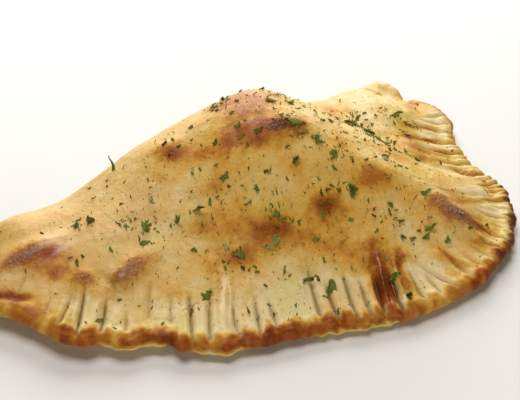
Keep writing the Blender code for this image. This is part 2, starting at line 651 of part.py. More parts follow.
def make_material(name, colour, roughness):
    """A plain material in one colour."""
    material = bpy.data.materials.new(name)
    material.use_nodes = True
    shader = material.node_tree.nodes["Principled BSDF"]
    shader.inputs["Base Color"].default_value = (*colour, 1)
    shader.inputs["Roughness"].default_value = roughness
    shader.inputs["Metallic"].default_value = 0
    return material


def main():
    for old in list(bpy.data.objects):
        bpy.data.objects.remove(old)
    plan = Plan()
    crust = make_crust(plan)
    thin_out(crust)
    crust.data.materials.append(make_material("crust", (0.62, 0.38, 0.15), 0.45))
    strew_herbs(crust, plan, make_material("herb", (0.06, 0.10, 0.025), 0.7))
    keep_main_body(crust)
    crust.data.shade_smooth()
    crust.data.set_sharp_from_angle(angle=math.radians(50))


main()
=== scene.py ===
"""The calzone's looks: its baked crust and the dried herbs strewn over it.

The crust stands for the plain solid, in the same place and at the same size. Places and sizes in the tables
are in millimetres, from the middle of the calzone: +X runs along the fold and -Y points at the sealed rim.
"""

import math
import random

import bpy
import numpy as np
from bpy.props import FloatProperty, FloatVectorProperty, IntProperty, PointerProperty
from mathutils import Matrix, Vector, noise
from mathutils.bvhtree import BVHTree


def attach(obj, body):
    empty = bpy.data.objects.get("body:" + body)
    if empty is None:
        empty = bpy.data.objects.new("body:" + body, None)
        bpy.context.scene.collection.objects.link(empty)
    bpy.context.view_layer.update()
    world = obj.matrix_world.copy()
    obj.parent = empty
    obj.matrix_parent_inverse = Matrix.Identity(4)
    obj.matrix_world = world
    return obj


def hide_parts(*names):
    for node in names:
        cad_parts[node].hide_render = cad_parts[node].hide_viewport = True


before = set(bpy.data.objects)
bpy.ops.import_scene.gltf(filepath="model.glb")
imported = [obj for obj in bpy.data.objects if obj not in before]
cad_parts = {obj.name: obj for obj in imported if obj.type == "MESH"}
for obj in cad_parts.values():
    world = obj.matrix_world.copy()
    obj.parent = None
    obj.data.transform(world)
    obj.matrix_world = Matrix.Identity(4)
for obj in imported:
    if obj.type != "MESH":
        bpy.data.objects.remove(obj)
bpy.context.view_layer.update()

bl_info = {
    "name": "Baked calzone",
    "version": (1, 0, 0),
    "blender": (4, 5, 0),
    "location": "3D View > Sidebar > Calzone",
    "description": "Shapes a baked calzone and strews it with dried herbs",
    "category": "Add Mesh",
}

MM = 0.001
SEED = 7

# The dough from above: the flat rim from the left corner round the front and the pale tab to the fold
RIM_POINTS = (
    (-107, 51), (-114, 38), (-110, 22), (-99, 7), (-86, -9), (-68, -23), (-51, -35), (-30, -47),
    (-4, -56), (28, -63), (57, -63), (80, -55.5), (95, -43), (100.5, -28), (99.5, -12), (104, 4),
    (111, 17), (113, 28), (111, 36), (107, 43), (109, 54), (105, 62.5), (96, 63),
)
# and the fold, from right to left
FOLD_POINTS = ((84, 60), (68, 59), (40, 62), (0, 64), (-45, 62), (-85, 57))
CURVE_STEPS = 16
# The place from which the whole outline is in straight view
HUB = (32, -18)

# Filling under the dough: centre x and y, reach to the left, to the right and in y, and height
MOUNDS = (
    (18, 30, 42, 37, 70, 36),
    (-66, 20, 46, 62, 60, 12.5),
    (62, -20, 40, 36, 38, 15),
    (86, 38, 20, 20, 24, 9),
    (-84, 60, 14, 14, 18, 4),
    (-58, 64, 20, 18, 22, -5.6),
    (-25, 62, 15, 14, 24, 4.8),
    (8, 64, 13, 10, 18, -2.4),
)
# The crest lies at this share of the way from the rim to the fold, and falls to this share at the fold
CREST_SHARE = 0.66
FOLD_EDGE = 0.5
RISE_POWER = 1.1
FALL_POWER = 2.2
# Low corners of the dough, and how far round them it stays low
CORNERS = ((-107, 51), (108, 52))
CORNER_REACH = 32
# How far the underside of the rim stands clear of the table: place along the rim and height
RIM_LIFTS = (
    (0, 2), (40, 4.6), (62, 4.8), (80, 4), (100, 3), (120, 2.2), (150, 1.4), (200, 0.9), (245, 2.2),
    (290, 1.2), (360, 0.3), (375, 1.2), (388, 3.4), (400, 2.6),
)
LIFT_REACH = 20
# How far the rim's edge is drawn in from the outline: place along the rim and distance
TRIMS = (
    (0, 0), (18, 1.5), (34, 4), (46, 4.6), (54, 3.6), (62, 2.2), (70, 0.2), (77, 0), (84, 1.8), (89, 0.4),
    (94, 1.6), (101, 4.2), (107, 3.6), (111, 1), (115, 1.6), (120, 1.4), (127, 0.6), (132, 2.6), (139, 2.8),
    (146, 3.6), (153, 3.8), (160, 4.4), (169, 3.8), (177, 1.8), (185, 2.2), (193, 0.2), (228, 0.2),
    (234, 1.3), (249, 1.6), (254, 1.9), (258, 2.8), (262, 4), (268, 3.7), (276, 3), (281, 3.8), (286, 1.6),
    (296, 1.2), (304, 1.2), (309, 2.2), (315, 1.4), (323, 1.8), (330, 0.8), (337, 0), (400, 0),
)
# Where the lower layer of dough shows below the upper one: from and to along the rim, and how far out
LIPS = ((84, 106, 0.9), (116, 133, 0.8), (160, 189, 1.3), (292, 330, 0.6))
LIP_EASE = 3
LIP_FULL = 0.6
# The lip comes and goes: share, length of its waves, and how much and how slowly they wander
LIP_SWAY = (0.5, 1.9, 2, 4.3)
# Teeth that the fork has cut into the rim: from and to along the rim, pitch and depth
TEETH = (228, 296, 3.7, 0.9)
TEETH_EASE = 3
TEETH_SWAY = (0.9, 5.3)
TEETH_IN_BEAD = 0.7
# Pale tab, where only the lower layer reaches out: its near corner, a direction across it, and its step
TAB_CORNER = (97, 39.5)
TAB_ACROSS = (0.97, 0.23)
TAB_STEP = 2.6
TAB_EASE = 0.8

# Marks of the fork's tines: place along the rim, lean, depth, half width, outer and inner end
MARKS = (
    (16, 0.1, 0.8, 0.9, 4, 17), (23, 0.1, 0.9, 0.9, 4, 17), (30, 0.1, 0.7, 0.9, 5, 18),
    (37, 0.1, 0.6, 0.9, 6, 17), (48, 0, 0.5, 0.8, 8, 18), (60.5, -0.2, 0.6, 0.8, 7, 14),
    (68, 0, 1.1, 0.8, 4.5, 18), (75.5, -0.1, 1.6, 0.8, 2.4, 22), (83.5, 0, 1.7, 1.3, 3, 18),
    (92, -0.1, 0.8, 0.8, 4.5, 15), (99, -0.1, 0.6, 0.9, 8, 24), (107, -0.1, 0.6, 0.8, 7, 20),
    (115, -0.1, 1.3, 0.8, 2.2, 22), (121, -0.05, 1.3, 0.8, 2.4, 20), (131, -0.15, 0.9, 0.8, 4, 18),
    (139, 0, 1.2, 0.8, 2.8, 19), (145.5, -0.1, 0.9, 0.8, 4.5, 17), (162, 0.05, 1.2, 0.8, 4.5, 22),
    (168, 0, 1.4, 0.8, 2.2, 18), (174.5, 0.05, 1.3, 0.8, 2.2, 21), (179.5, 0.1, 1.2, 0.8, 2, 18),
    (184.5, 0.17, 1.5, 0.8, 1.8, 20), (191, 0.15, 1.6, 0.9, 1.8, 20), (201, 0, 1, 0.9, 4, 17),
    (208.5, -0.1, 0.7, 0.8, 3, 15), (216, -0.6, 0.7, 0.8, 2.2, 19), (224, -0.2, 0.7, 0.8, 1.8, 18),
    (231, -0.2, 0.5, 0.8, 2, 15), (238, -0.3, 0.5, 0.8, 2, 14), (244.5, -0.3, 0.7, 0.8, 2, 15),
    (250.5, -0.1, 0.5, 0.8, 2, 22), (257, -0.1, 0.4, 0.7, 2, 14), (263.5, -0.1, 0.6, 0.8, 2, 17),
    (270.5, 0, 0.5, 0.8, 2, 15), (278, 0, 0.7, 0.8, 2, 17), (285, 0.1, 0.5, 0.8, 2, 14),
    (291.5, 0.3, 0.8, 0.8, 2, 16), (299, 0.5, 0.9, 0.8, 2, 15), (306, 0.2, 0.7, 0.8, 2, 17),
    (313, 0.2, 0.9, 0.8, 2, 24), (320, 0.1, 0.7, 0.8, 2, 19), (327, 0.1, 0.9, 0.8, 2, 21),
    (334, 0, 0.7, 0.8, 2, 18), (341, 0, 0.6, 0.8, 3, 15),
)
# Each mark is eased in at its outer end, by so much before and after it, and fades over its inner end
MARK_EASE = (1.6, 1.2)
CUT_EASE = (1.2, 0.8)
MARK_FADE = 7
# A mark's hollow as two bells: share of its depth, and width over its own half width
HOLLOW = ((0.75, 1), (0.2, 2.2))
# The ribs beside it: their place and width over its half width
RIB_PLACE = 2.7
RIB_WIDTH = 1.3
# How far to the side of a mark its cut still counts
CUT_SIDES = (1.3, 2.1)
# How far in from the rim the marks notch its side, and by what share of their depth
NOTCH_PLACE = 3.2
NOTCH_SHARE = 0.35
# Unevenness of the rim's edge: length of a wave along it, and its strength outwards and up
EDGE_WAVES = ((9, 1.0, 1.2), (3.4, 0.72, 0.72), (1.7, 0.32, 0.28))
EDGE_LAYER = 50

# Blisters: centre x and y, half length and half width, turn in degrees, and height
BLISTERS = (
    (16, 13, 13, 6, -20, 1.3), (-18, 40, 8, 5, -40, 1.2), (-80, 29, 13, 5.5, -5, 2.4),
    (-70, 7, 5, 4, 20, 1.2), (-53, 2.5, 11, 4.5, 12, 1.9), (16, -17, 6.5, 6, 0, 1),
    (41, -14, 10, 7, -30, 1), (63.5, -37, 12, 6, -80, 2.8), (-6, -14, 9, 6, 30, 0.8),
    (-20, -13, 7, 5, 0, 0.8), (25, -36, 9, 6, -40, 1.2), (-20, -1, 7, 5, 30, 0.7), (26, -4, 7, 6, 0, 0.7),
    (73, 3, 8, 5, 40, 0.9), (108, 29, 6, 5, 0, 1.3), (-96, 30, 8, 9, 20, 1), (84, -24, 9, 4, -60, 1),
    (-38, 20, 12, 8, 20, 0.7), (-2, 55, 14, 5, 0, 1), (56, 12, 9, 6, 60, 0.8),
)
# Thickness of the pressed rim: place along it and thickness, and how far inwards that goes on
RIM_SIZES = (
    (0, 5), (60, 4.2), (100, 4.1), (150, 4.4), (200, 4.6), (235, 4.1), (296, 4.3), (330, 5.4), (400, 6.3),
)
SIZE_REACH = 22

# Folds and creases of the skin: points from end to end, half width, and height above it or depth below
STROKES = (
    (((25, -39), (20, -49), (17, -56)), 1.6, 1.9),
    (((30, -41), (26, -49), (23.5, -56)), 1.4, 1.5),
    (((36, -40), (33, -48), (30.5, -56)), 1.3, 1.2),
    (((-27, -8), (-29, -14), (-33, -22)), 1.3, 0.9),
    (((-26, -20), (-31, -29), (-36, -36)), 1.2, 1.3),
    (((2, -22), (-1, -31), (-4, -40)), 1.2, 1.0),
    (((66, -46), (69, -52), (72, -55)), 1.6, 0.9),
    (((80, -34), (87, -38), (91, -38)), 1.5, 0.9),
    (((45, -45), (52, -52), (56, -57)), 1.5, 1.0),
    (((68, 49), (66, 32), (67, 17), (69, 2), (77, -8), (90, -14)), 3.0, -1.9),
    (((84, 34), (92, 20), (95, 6)), 2.6, -0.8),
    (((-101, 24), (-95, 17), (-88, 12)), 2.0, -1.8),
    (((-64, 10), (-62, 1), (-66, -8)), 1.8, -1.1),
    (((-92, 40), (-60, 34), (-40, 36)), 4.0, -0.8),
)
STROKE_SAMPLES = 24
# Share of its length over which a fold fades, and what is left of it at its ends
STROKE_FADE = 0.25
STROKE_LEAST = 0.35
# The dough is sealed flat between these distances from the fold, and free to rise this far from the rim
SEALED = (2, 16)
FREE_SKIN = 12
RIM_SKIN_SHARE = 0.35
BEAD_PLACE = 1.0
# Small bubbles: share that lie on browned spots, how wide they spread there, least size, power and height
BUBBLES_ON_SPOTS = 0.6
BUBBLE_SPREAD = 0.7
BUBBLE_LEAST = 0.35
BUBBLE_POWER = 1.6
BUBBLE_HEIGHT = 0.15
# A bubble is too low to count past so many times its reach
BUBBLE_EXTENT = 2.5
# Slow unevenness of the skin
WAVE_SIZE = 17
WAVE_HEIGHT = 0.55
# Finer unevenness: size and height of each layer
RIPPLES = ((7, 0.42), (3, 0.11))

# Cross-section of the side, from the skin's edge outwards and down: share of its reach, share of the height
RIM_SIDE = (
    (0.42, 0.95), (0.74, 0.85), (0.93, 0.71), (1.00, 0.56), (0.99, 0.42),
    (0.91, 0.29), (0.78, 0.18), (0.60, 0.08), (0.20, 0.01),
)
# The same where the lower layer shows
LIPPED_SIDE = (
    (0.50, 0.95), (0.84, 0.85), (0.98, 0.71), (0.92, 0.57), (0.60, 0.46),
    (0.78, 0.38), (0.86, 0.25), (0.70, 0.11), (0.20, 0.01),
)
# The same along the fold
FOLD_SIDE = (
    (0.34, 0.93), (0.60, 0.80), (0.79, 0.65), (0.91, 0.51), (0.97, 0.40),
    (1.00, 0.29), (0.98, 0.18), (0.90, 0.08), (0.72, 0.01),
)
# How many of them belong to the lower layer
LOWER_RINGS = 3
# Rings of the underside: share of the way out from the hub, and share of the rim's lift
UNDERSIDE = ((0.94, 0.45), (0.87, 0.0))

# Browned spots: centre x and y, half length and half width, turn in degrees, how brown, and how dark inside
SPOTS = (
    (14, 15, 12, 5, -26, 0.34, 0), (19, 12, 9, 3.2, -20, 0.36, 1), (6, 12, 6, 2.6, -38, 0.26, 0.12),
    (-18, 35, 7, 4, -62, 0.28, 0), (-18, 34, 4.2, 2.6, -70, 0.25, 0.55), (-10, 24, 5.5, 2.6, -60, 0.2, 0),
    (-26, 27, 5, 2.4, -62, 0.22, 0), (23, 27, 11, 8, -14, 0.34, 0), (9, 44, 6, 2.4, 80, 0.1, 0.1),
    (15, -3, 4, 3, -25, 0.22, 0), (-13, 9, 3, 2, -50, 0.22, 0), (17, -18, 6, 4, -19, 0.36, 0.05),
    (18, -17.5, 3.6, 2.2, -17, 0.24, 0.48), (-5, -14, 10, 5.5, -33, 0.38, 0),
    (-4, -13, 5, 2.6, -40, 0.2, 0.25), (-23, 0, 8, 3.4, -40, 0.28, 0), (-20, -14, 7, 3, -35, 0.4, 0.1),
    (11, -29, 6, 2.6, -27, 0.24, 0), (64, -37, 11, 6, -54, 0.46, 0.74), (60, -33, 5, 3.2, -46, 0.2, 0.15),
    (21.5, -48, 9, 4.2, 72, 0.52, 0.15), (21, -49.5, 8, 2.8, 72, 0.66, 0.5),
    (33, -43, 2.6, 2.2, 0, 0.5, 0.5), (29, -51, 6, 2, 84, 0.62, 0.3), (23, -38, 9, 3.6, -21, 0.24, 0),
    (17, -49, 6, 2.4, 72, 0.32, 0), (49, -48, 4, 2, -81, 0.28, 0), (48, -57, 5, 2.4, -88, 0.28, 0),
    (102, 34, 7, 4, 60, 0.46, 0), (75, 8, 8, 3, -30, 0.2, 0), (36, -50, 7, 3.4, 60, -0.12, 0),
    (81, 13, 9, 4, 70, 0.28, 0), (87, 1, 11, 2.8, -14, 0.52, 0), (96, 17, 9, 1.3, -14, 0.44, 0),
    (90, 19, 2.6, 1.2, -14, 0.25, 0.35), (88, 10, 12, 1.7, -17, 0.5, 0), (93, 10, 6, 1.2, -14, 0.25, 0.35),
    (83, -4, 9, 1.9, -12, 0.4, 0), (92, -14, 8, 1.2, -32, 0.36, 0), (88, -21, 10, 1, -12, 0.24, 0),
    (80, -32, 13, 1.3, -10, 0.38, 0), (70, -43, 7, 2.2, -48, 0.42, 0.3), (51, -51, 7, 1.4, -62, 0.32, 0),
    (60, -58, 5, 1.6, -38, 0.32, 0), (67, -51, 6, 1.4, -34, 0.34, 0), (12, 40, 16, 8, 60, 0.36, 0),
    (2, 20, 7, 5, 30, 0.2, 0), (34, 22, 7, 5, -20, -0.26, 0), (-12, 28, 14, 7, -60, 0.14, 0),
    (20, -30, 30, 7, -24, 0.13, 0), (44, 8, 10, 5, -50, 0.12, 0), (-78, 40, 26, 14, 0, 0.2, 0),
    (-50, 30, 16, 12, 0, -0.03, 0), (40, -16, 7, 4, -15, 0.42, 0), (62, -2, 7, 4, -6, 0.28, 0),
    (58, 34, 11, 3.4, 55, 0.26, 0), (36, 2, 7, 3.4, 24, 0.24, 0), (-84, 27, 9, 3, -9, 0.45, 0.75),
    (-73, 23, 8, 3, -40, 0.38, 0.25), (-76, 17, 6, 3.6, -42, 0.42, 0), (-69, 7, 6, 3.4, -40, 0.42, 0.6),
    (-54, 1.5, 10, 3.6, 10, 0.42, 0.72), (-93, 8, 10, 5, -45, 0.3, 0), (-92, 6, 11, 5.5, -45, 0.26, 0),
    (-97, 22, 6, 1.6, -60, 0.3, 0.1), (-56, 37, 7, 5, -81, 0.18, 0), (-45, -9, 9, 4, -30, 0.16, 0),
    (-36, -6, 6, 3, -30, 0.16, 0), (95, 56, 4.5, 2.8, -60, 0.85, 0.15), (-93, 17, 7, 1.6, -35, 0.6, 0.1),
    (70, -22, 8, 3, -60, 0.18, 0), (76, -40, 8, 2.4, -40, 0.2, 0), (92, -27, 4, 3, -70, 0.35, 0.25),
)
# How fast a spot's brown fades outwards, and how sharp its dark middle ends
SPOT_TOAST_REACH = 0.85
SPOT_DARK_POWER = 1.5
MOST_BAKE = 1.2
# Places near a spot count as farther or nearer by noise: size, layer and strength
SPOT_NOISE = ((4.5, 33, 0.28), (1.7, 34, 0.14))
# Baking away from the spots: least, what the dome adds between two heights, what the flap adds, and noise
LEAST_BAKE = 0.09
DOME_BAKE = 0.105
DOME_HEIGHTS = (11, 26)
FLAP_BAKE = 0.01
BAKE_NOISE = ((26, 31, 0.13), (9, 32, 0.11))
FLAP_NOISE = ((6, 36, 1),)
FLAP_EASE = (-2, 4)
# Where the pale flap on the right begins: its x at each y
FLAP_EDGE = ((-40, 112), (-14, 92), (-8, 78), (2, 70), (17, 67), (32, 66), (49, 68), (64, 72))
# How far in from the edge the rim is browned, and what noise along it, noise over it and the marks add
BAND_REACH = 2.4
BAND_LINE_NOISE = ((7, 35, 2.2),)
BAND_NOISE = ((2.2, 37, 1.0),)
BETWEEN_MARKS = (0.7, 2.6)
BETWEEN_REACH = 1.4
BAND_EDGES = (0.35, 2.2)
# Stretches of the rim where its brown band is narrower, by a share, and wider: where they begin and end
NARROW_BAND = ((240, 256), (345, 360))
NARROWING = 0.45
WIDE_BAND = ((30, 40), (66, 78))
WIDENING = 2.5
RIM_LINE_NOISE = ((5, 38, 0.30),)
RIM_NOISE = ((2.6, 39, 0.22),)
BLACK_NOISE = ((2.4, 41, 0.9),)
BLACK_REACH = (1.5, 4.5)
BAKED_SEAL = (2, 14)
# The pale side of the rim: how high above its foot and how far in it reaches, and how pale it is
PALE_HEIGHTS = (1.6, 2.6)
PALE_REACH = (2, 4)
PALE_SHARE = 0.15
PALE_LIP_SHARE = 0.80
PALE_LIP_EASE = 2
PALE_BAKE = 0.08
# The stretch of rim on the right whose marks are browned streaks, and what these and their ribs add
STREAKED = ((205, 225), (350, 365))
STREAK_NOISE = ((5, 40, 0.8),)
STREAK_BAKE = 0.16
STREAK_RIB = 0.05
STREAK_GROOVE_LOSS = 0.8
STREAK_MARK_LOSS = 0.5
# Places farther to the side of a mark count as this far
FARTHEST_ASIDE = 3
# What the other marks add as painted shade and their ribs take off as painted light, how much paler the flat
# zone is that the fork pressed, and the painted light on all ribs
GROOVE_PAINTED_SHADE = 0.07
GROOVE_RIB_PAINTED_LIGHT = 0.04
PRESSED = ((3, 6), (15, 22))
PRESSED_BAKE = 0.04
RIB_PAINTED_LIGHT = 0.06
# Level of the baking along the edge of the rim: place along it, how brown, and how black
RIM_BAKE = (
    (0, 0.45, 0), (44, 0.46, 0), (56, 0.52, 0), (64, 0.56, 0), (70, 0.74, 0), (78, 0.78, 0), (84, 0.62, 0),
    (90, 0.48, 0), (96, 0.72, 0), (100, 0.93, 0.06), (107, 0.93, 0.06), (112, 0.8, 0), (117, 0.6, 0),
    (122, 0.55, 0), (127, 0.85, 0), (133, 0.93, 0.06), (136, 0.8, 0), (140, 0.93, 0.06), (146, 0.96, 0.12),
    (154, 0.82, 0), (160, 0.7, 0), (167, 0.8, 0), (174, 0.7, 0), (180, 0.6, 0), (186, 0.64, 0),
    (192, 0.76, 0.04), (200, 0.48, 0), (206, 0.5, 0), (216, 0.62, 0), (226, 0.8, 0.12), (240, 0.82, 0.7),
    (262, 0.86, 0.85), (280, 0.74, 0.8), (292, 0.55, 0.35), (305, 0.42, 0), (325, 0.5, 0), (345, 0.62, 0),
    (360, 0.5, 0), (375, 0.15, 0), (400, 0.12, 0),
)
# Spots where the skin is wet with oil: centre x and y, half length and half width, turn in degrees
OILY = (
    (-58, -1, 10, 3, -10), (-84, 25, 10, 4, -9), (-30, -22, 9, 2.8, 62), (0, -30, 9, 2, 58),
    (62, -42, 7, 4, -50), (20, -50, 8, 3, 70), (-70, 25, 10, 5, -20), (17, -18, 6, 4, 0),
    (24, -46, 9, 5, 76),
)
# The paler and pinker skin on the left, partly a painted sheen: centre x and y, reach and share
FLUSH_AND_SHEEN = (
    (-84, 25, 14, 0.9), (-57, 3, 15, 0.8), (-60, 36, 34, 0.8), (-38, 26, 13, 1), (-15, 50, 24, 0.3),
    (-95, 35, 22, 0.3), (64, -37, 12, 0.7),
)


def colour_setting(name, description, default):
    """A colour that the file's user can change."""
    return FloatVectorProperty(name=name, description=description, subtype="COLOR", default=default)


def length_setting(name, description, default):
    """A length that the file's user can change."""
    return FloatProperty(name=name, description=description, default=default, unit="LENGTH")


class CrustShape(bpy.types.PropertyGroup):
    """Sizes of the crust."""

    grid_x: IntProperty(name="Steps along", description="Steps of the skin along the fold", default=376)
    grid_y: IntProperty(name="Steps across", description="Steps of the skin across the fold", default=214)
    rim_height: length_setting("Rim height", "Height of the pressed rim", 6.3 * MM)
    bead_height: length_setting("Bead height", "Height of the bead along the rim's edge", 1.0 * MM)
    bead_width: length_setting("Bead width", "Half width of that bead", 2.2 * MM)
    rim_reach: length_setting("Rim reach", "How far the rim's side goes past the skin", 2.6 * MM)
    fold_reach: length_setting("Fold reach", "How far the fold's side goes past the skin", 9.0 * MM)
    rib_share: FloatProperty(
        name="Rib share", description="Height of the ribs beside the marks over their depth", default=0.5)
    bubbles: IntProperty(name="Bubbles", description="Small bubbles in the skin", default=420)
    bubble_size: length_setting("Bubble size", "Half width of the largest small bubble", 1.7 * MM)


class CrustColours(bpy.types.PropertyGroup):
    """Colours of the crust, from raw to burnt, and the painted shade in its marks."""

    cream: colour_setting("Cream", "Dough that has hardly browned", (0.69, 0.56, 0.30))
    straw: colour_setting("Straw", "Lightly baked dough", (0.63, 0.425, 0.125))
    golden: colour_setting("Golden", "Golden crust", (0.57, 0.315, 0.050))
    amber: colour_setting("Amber", "Well baked crust", (0.40, 0.160, 0.022))
    russet: colour_setting("Russet", "Red brown of the rim", (0.29, 0.070, 0.009))
    mahogany: colour_setting("Mahogany", "Darkest brown of the rim", (0.165, 0.031, 0.005))
    burnt: colour_setting("Burnt", "Purple brown of the blisters' tops", (0.085, 0.032, 0.008))
    # Purple brown of the blisters, paler and greyer in part as a painted sheen
    plum: colour_setting("Plum", "Blistered skin on the left", (0.23, 0.115, 0.075))
    fleck: colour_setting("Fleck", "Herb dust on the skin", (0.20, 0.14, 0.026))
    # Painted shade in the marks' hollows, with the greyer tone of pressed dough
    shade: colour_setting("Groove shade", "Dough pressed thin under the fork", (0.36, 0.27, 0.12))
    # Painted shade at the bottom of the fork's marks
    cut: colour_setting("Cut", "Bottom of the fork's marks", (0.20, 0.130, 0.050))
    # Pinker, paler skin on the left, partly a painted sheen
    flush: colour_setting("Flush and sheen", "Pinker skin on the left", (0.53, 0.33, 0.13))


class HerbLook(bpy.types.PropertyGroup):
    """Dried herbs."""

    flakes: IntProperty(name="Flakes", description="Leaf flakes over 1.8 mm", default=100)
    bits: IntProperty(name="Bits", description="Smaller bits of leaf", default=560)
    crumbs: IntProperty(name="Crumbs", description="Specks of leaf and stalk", default=900)
    thickness: length_setting("Thickness", "Thickness of a flake", 0.16 * MM)
    dark_leaf: colour_setting("Dark leaf", "Colour of the darkest flakes", (0.055, 0.056, 0.008))
    brown_leaf: colour_setting("Brown leaf", "Colour of scorched flakes", (0.13, 0.088, 0.012))
    leaf: colour_setting("Leaf", "Colour of most flakes", (0.125, 0.145, 0.020))
    green_leaf: colour_setting("Green leaf", "Colour of the greenest flakes", (0.12, 0.19, 0.022))
    pale_leaf: colour_setting("Pale leaf", "Colour of the palest flakes", (0.29, 0.32, 0.12))


class StageLook(bpy.types.PropertyGroup):
    """Floor, light and camera."""

    floor: colour_setting("Floor", "Floor colour", (0.755, 0.75, 0.742))
    floor_size: length_setting("Floor size", "Width of the floor", 6.0)
    key_power: FloatProperty(name="Key light", description="Watts of the light behind", default=16.0)
    top_power: FloatProperty(name="Top light", description="Watts of the light overhead", default=6.0)
    fill_power: FloatProperty(name="Fill light", description="Watts of the low light in front", default=4.9)
    sky: FloatProperty(name="Sky", description="Strength of the even light all round", default=0.02)
    azimuth: FloatProperty(
        name="Camera azimuth", description="Turn of the camera round the object", default=math.radians(-33),
        subtype="ANGLE")
    elevation: FloatProperty(
        name="Camera elevation", description="Camera angle above the table", default=math.radians(40),
        subtype="ANGLE")
    distance: length_setting("Camera distance", "From camera to target", 0.395)
    view_angle: FloatProperty(
        name="View angle", description="Angle across the picture", default=math.radians(30), subtype="ANGLE")
    target: FloatVectorProperty(
        name="Target", description="Place at the picture's middle", default=(0.0155, 0.0245, 0),
        subtype="TRANSLATION")


def spline(points, steps):
    """A closed Catmull-Rom curve through points, with steps places between each two."""
    p = np.array(points, float)
    before, after, beyond = np.roll(p, 1, 0), np.roll(p, -1, 0), np.roll(p, -2, 0)
    t = np.linspace(0, 1, steps, endpoint=False)[None, :, None]
    p, before, after, beyond = (q[:, None, :] for q in (p, before, after, beyond))
    curve = 0.5 * (
        2 * p + (after - before) * t
        + (2 * before - 5 * p + 4 * after - beyond) * t ** 2
        + (3 * p - before - 3 * after + beyond) * t ** 3
    )
    return curve.reshape(-1, 2)


def lengths_along(line):
    """The length of a line of points up to each of them."""
    return np.concatenate([[0], np.cumsum(np.linalg.norm(np.diff(line, axis=0), axis=1))])


def nearest(places, line):
    """For each place, its distance from a line of points, and its place along the line's length."""
    steps = np.diff(line, axis=0)
    squared = (steps ** 2).sum(1)
    along = lengths_along(line)
    distance = np.empty(len(places))
    length = np.empty(len(places))
    batch = 4000
    for start in range(0, len(places), batch):
        aside = places[start:start + batch, None, :] - line[None, :-1, :]
        share = np.clip((aside * steps).sum(2) / squared, 0, 1)
        squares = ((aside - share[..., None] * steps) ** 2).sum(2)
        index = squares.argmin(1)
        rows = np.arange(len(index))
        distance[start:start + batch] = np.sqrt(squares[rows, index])
        length[start:start + batch] = along[index] + share[rows, index] * np.sqrt(squared[index])
    return distance, length


def smooth(low, high, value):
    """0 below low, 1 above high, and an even S between."""
    t = np.clip((value - low) / (high - low), 0, 1)
    return t * t * (3 - 2 * t)


def eased(stops, values):
    """Amounts read off a table of stops, with an even slope between each two."""
    where, amounts = np.array(stops, float).T
    steps = np.arange(len(where))
    place = np.interp(values, where, steps)
    share = place % 1
    return np.interp(place - share + share * share * (3 - 2 * share), steps, amounts)


def read_off(table, values):
    """Amounts read off a table of stops, with a straight line between each two."""
    return np.interp(values, *zip(*table))


def stretch(values, rise, fall):
    """1 between two limits, each given as the start and end of an S."""
    return smooth(*rise, values) * (1 - smooth(*fall, values))


def span(values, start, end, ease):
    """1 from start to end, eased to both sides of each."""
    return stretch(values, (start - ease, start + ease), (end - ease, end + ease))


def hill(offset):
    """A bell that is 1 in the middle and near 0 at twice its reach."""
    return np.exp(-offset ** 2)


def oval(places, x, y, length, width, turn):
    """How far each place is from an oval's middle, as a share of its size."""
    cos, sin = math.cos(math.radians(turn)), math.sin(math.radians(turn))
    aside = places - (x, y)
    u = (aside[:, 0] * cos + aside[:, 1] * sin) / length
    v = (aside[:, 1] * cos - aside[:, 0] * sin) / width
    return np.hypot(u, v)


def roughen(places, size, layer):
    """Noise between about -1 and 1, with hollows of that size; each layer is another pattern."""
    return np.array([noise.noise(Vector((x / size, y / size, layer))) for x, y in places])


def layered(places, layers):
    """Several layers of noise together: size, layer and strength of each."""
    return sum(strength * roughen(places, size, layer) for size, layer, strength in layers)


def on_line(along):
    """Places along the rim as places on a straight line, to read noise there."""
    return np.column_stack([along, np.zeros_like(along)])


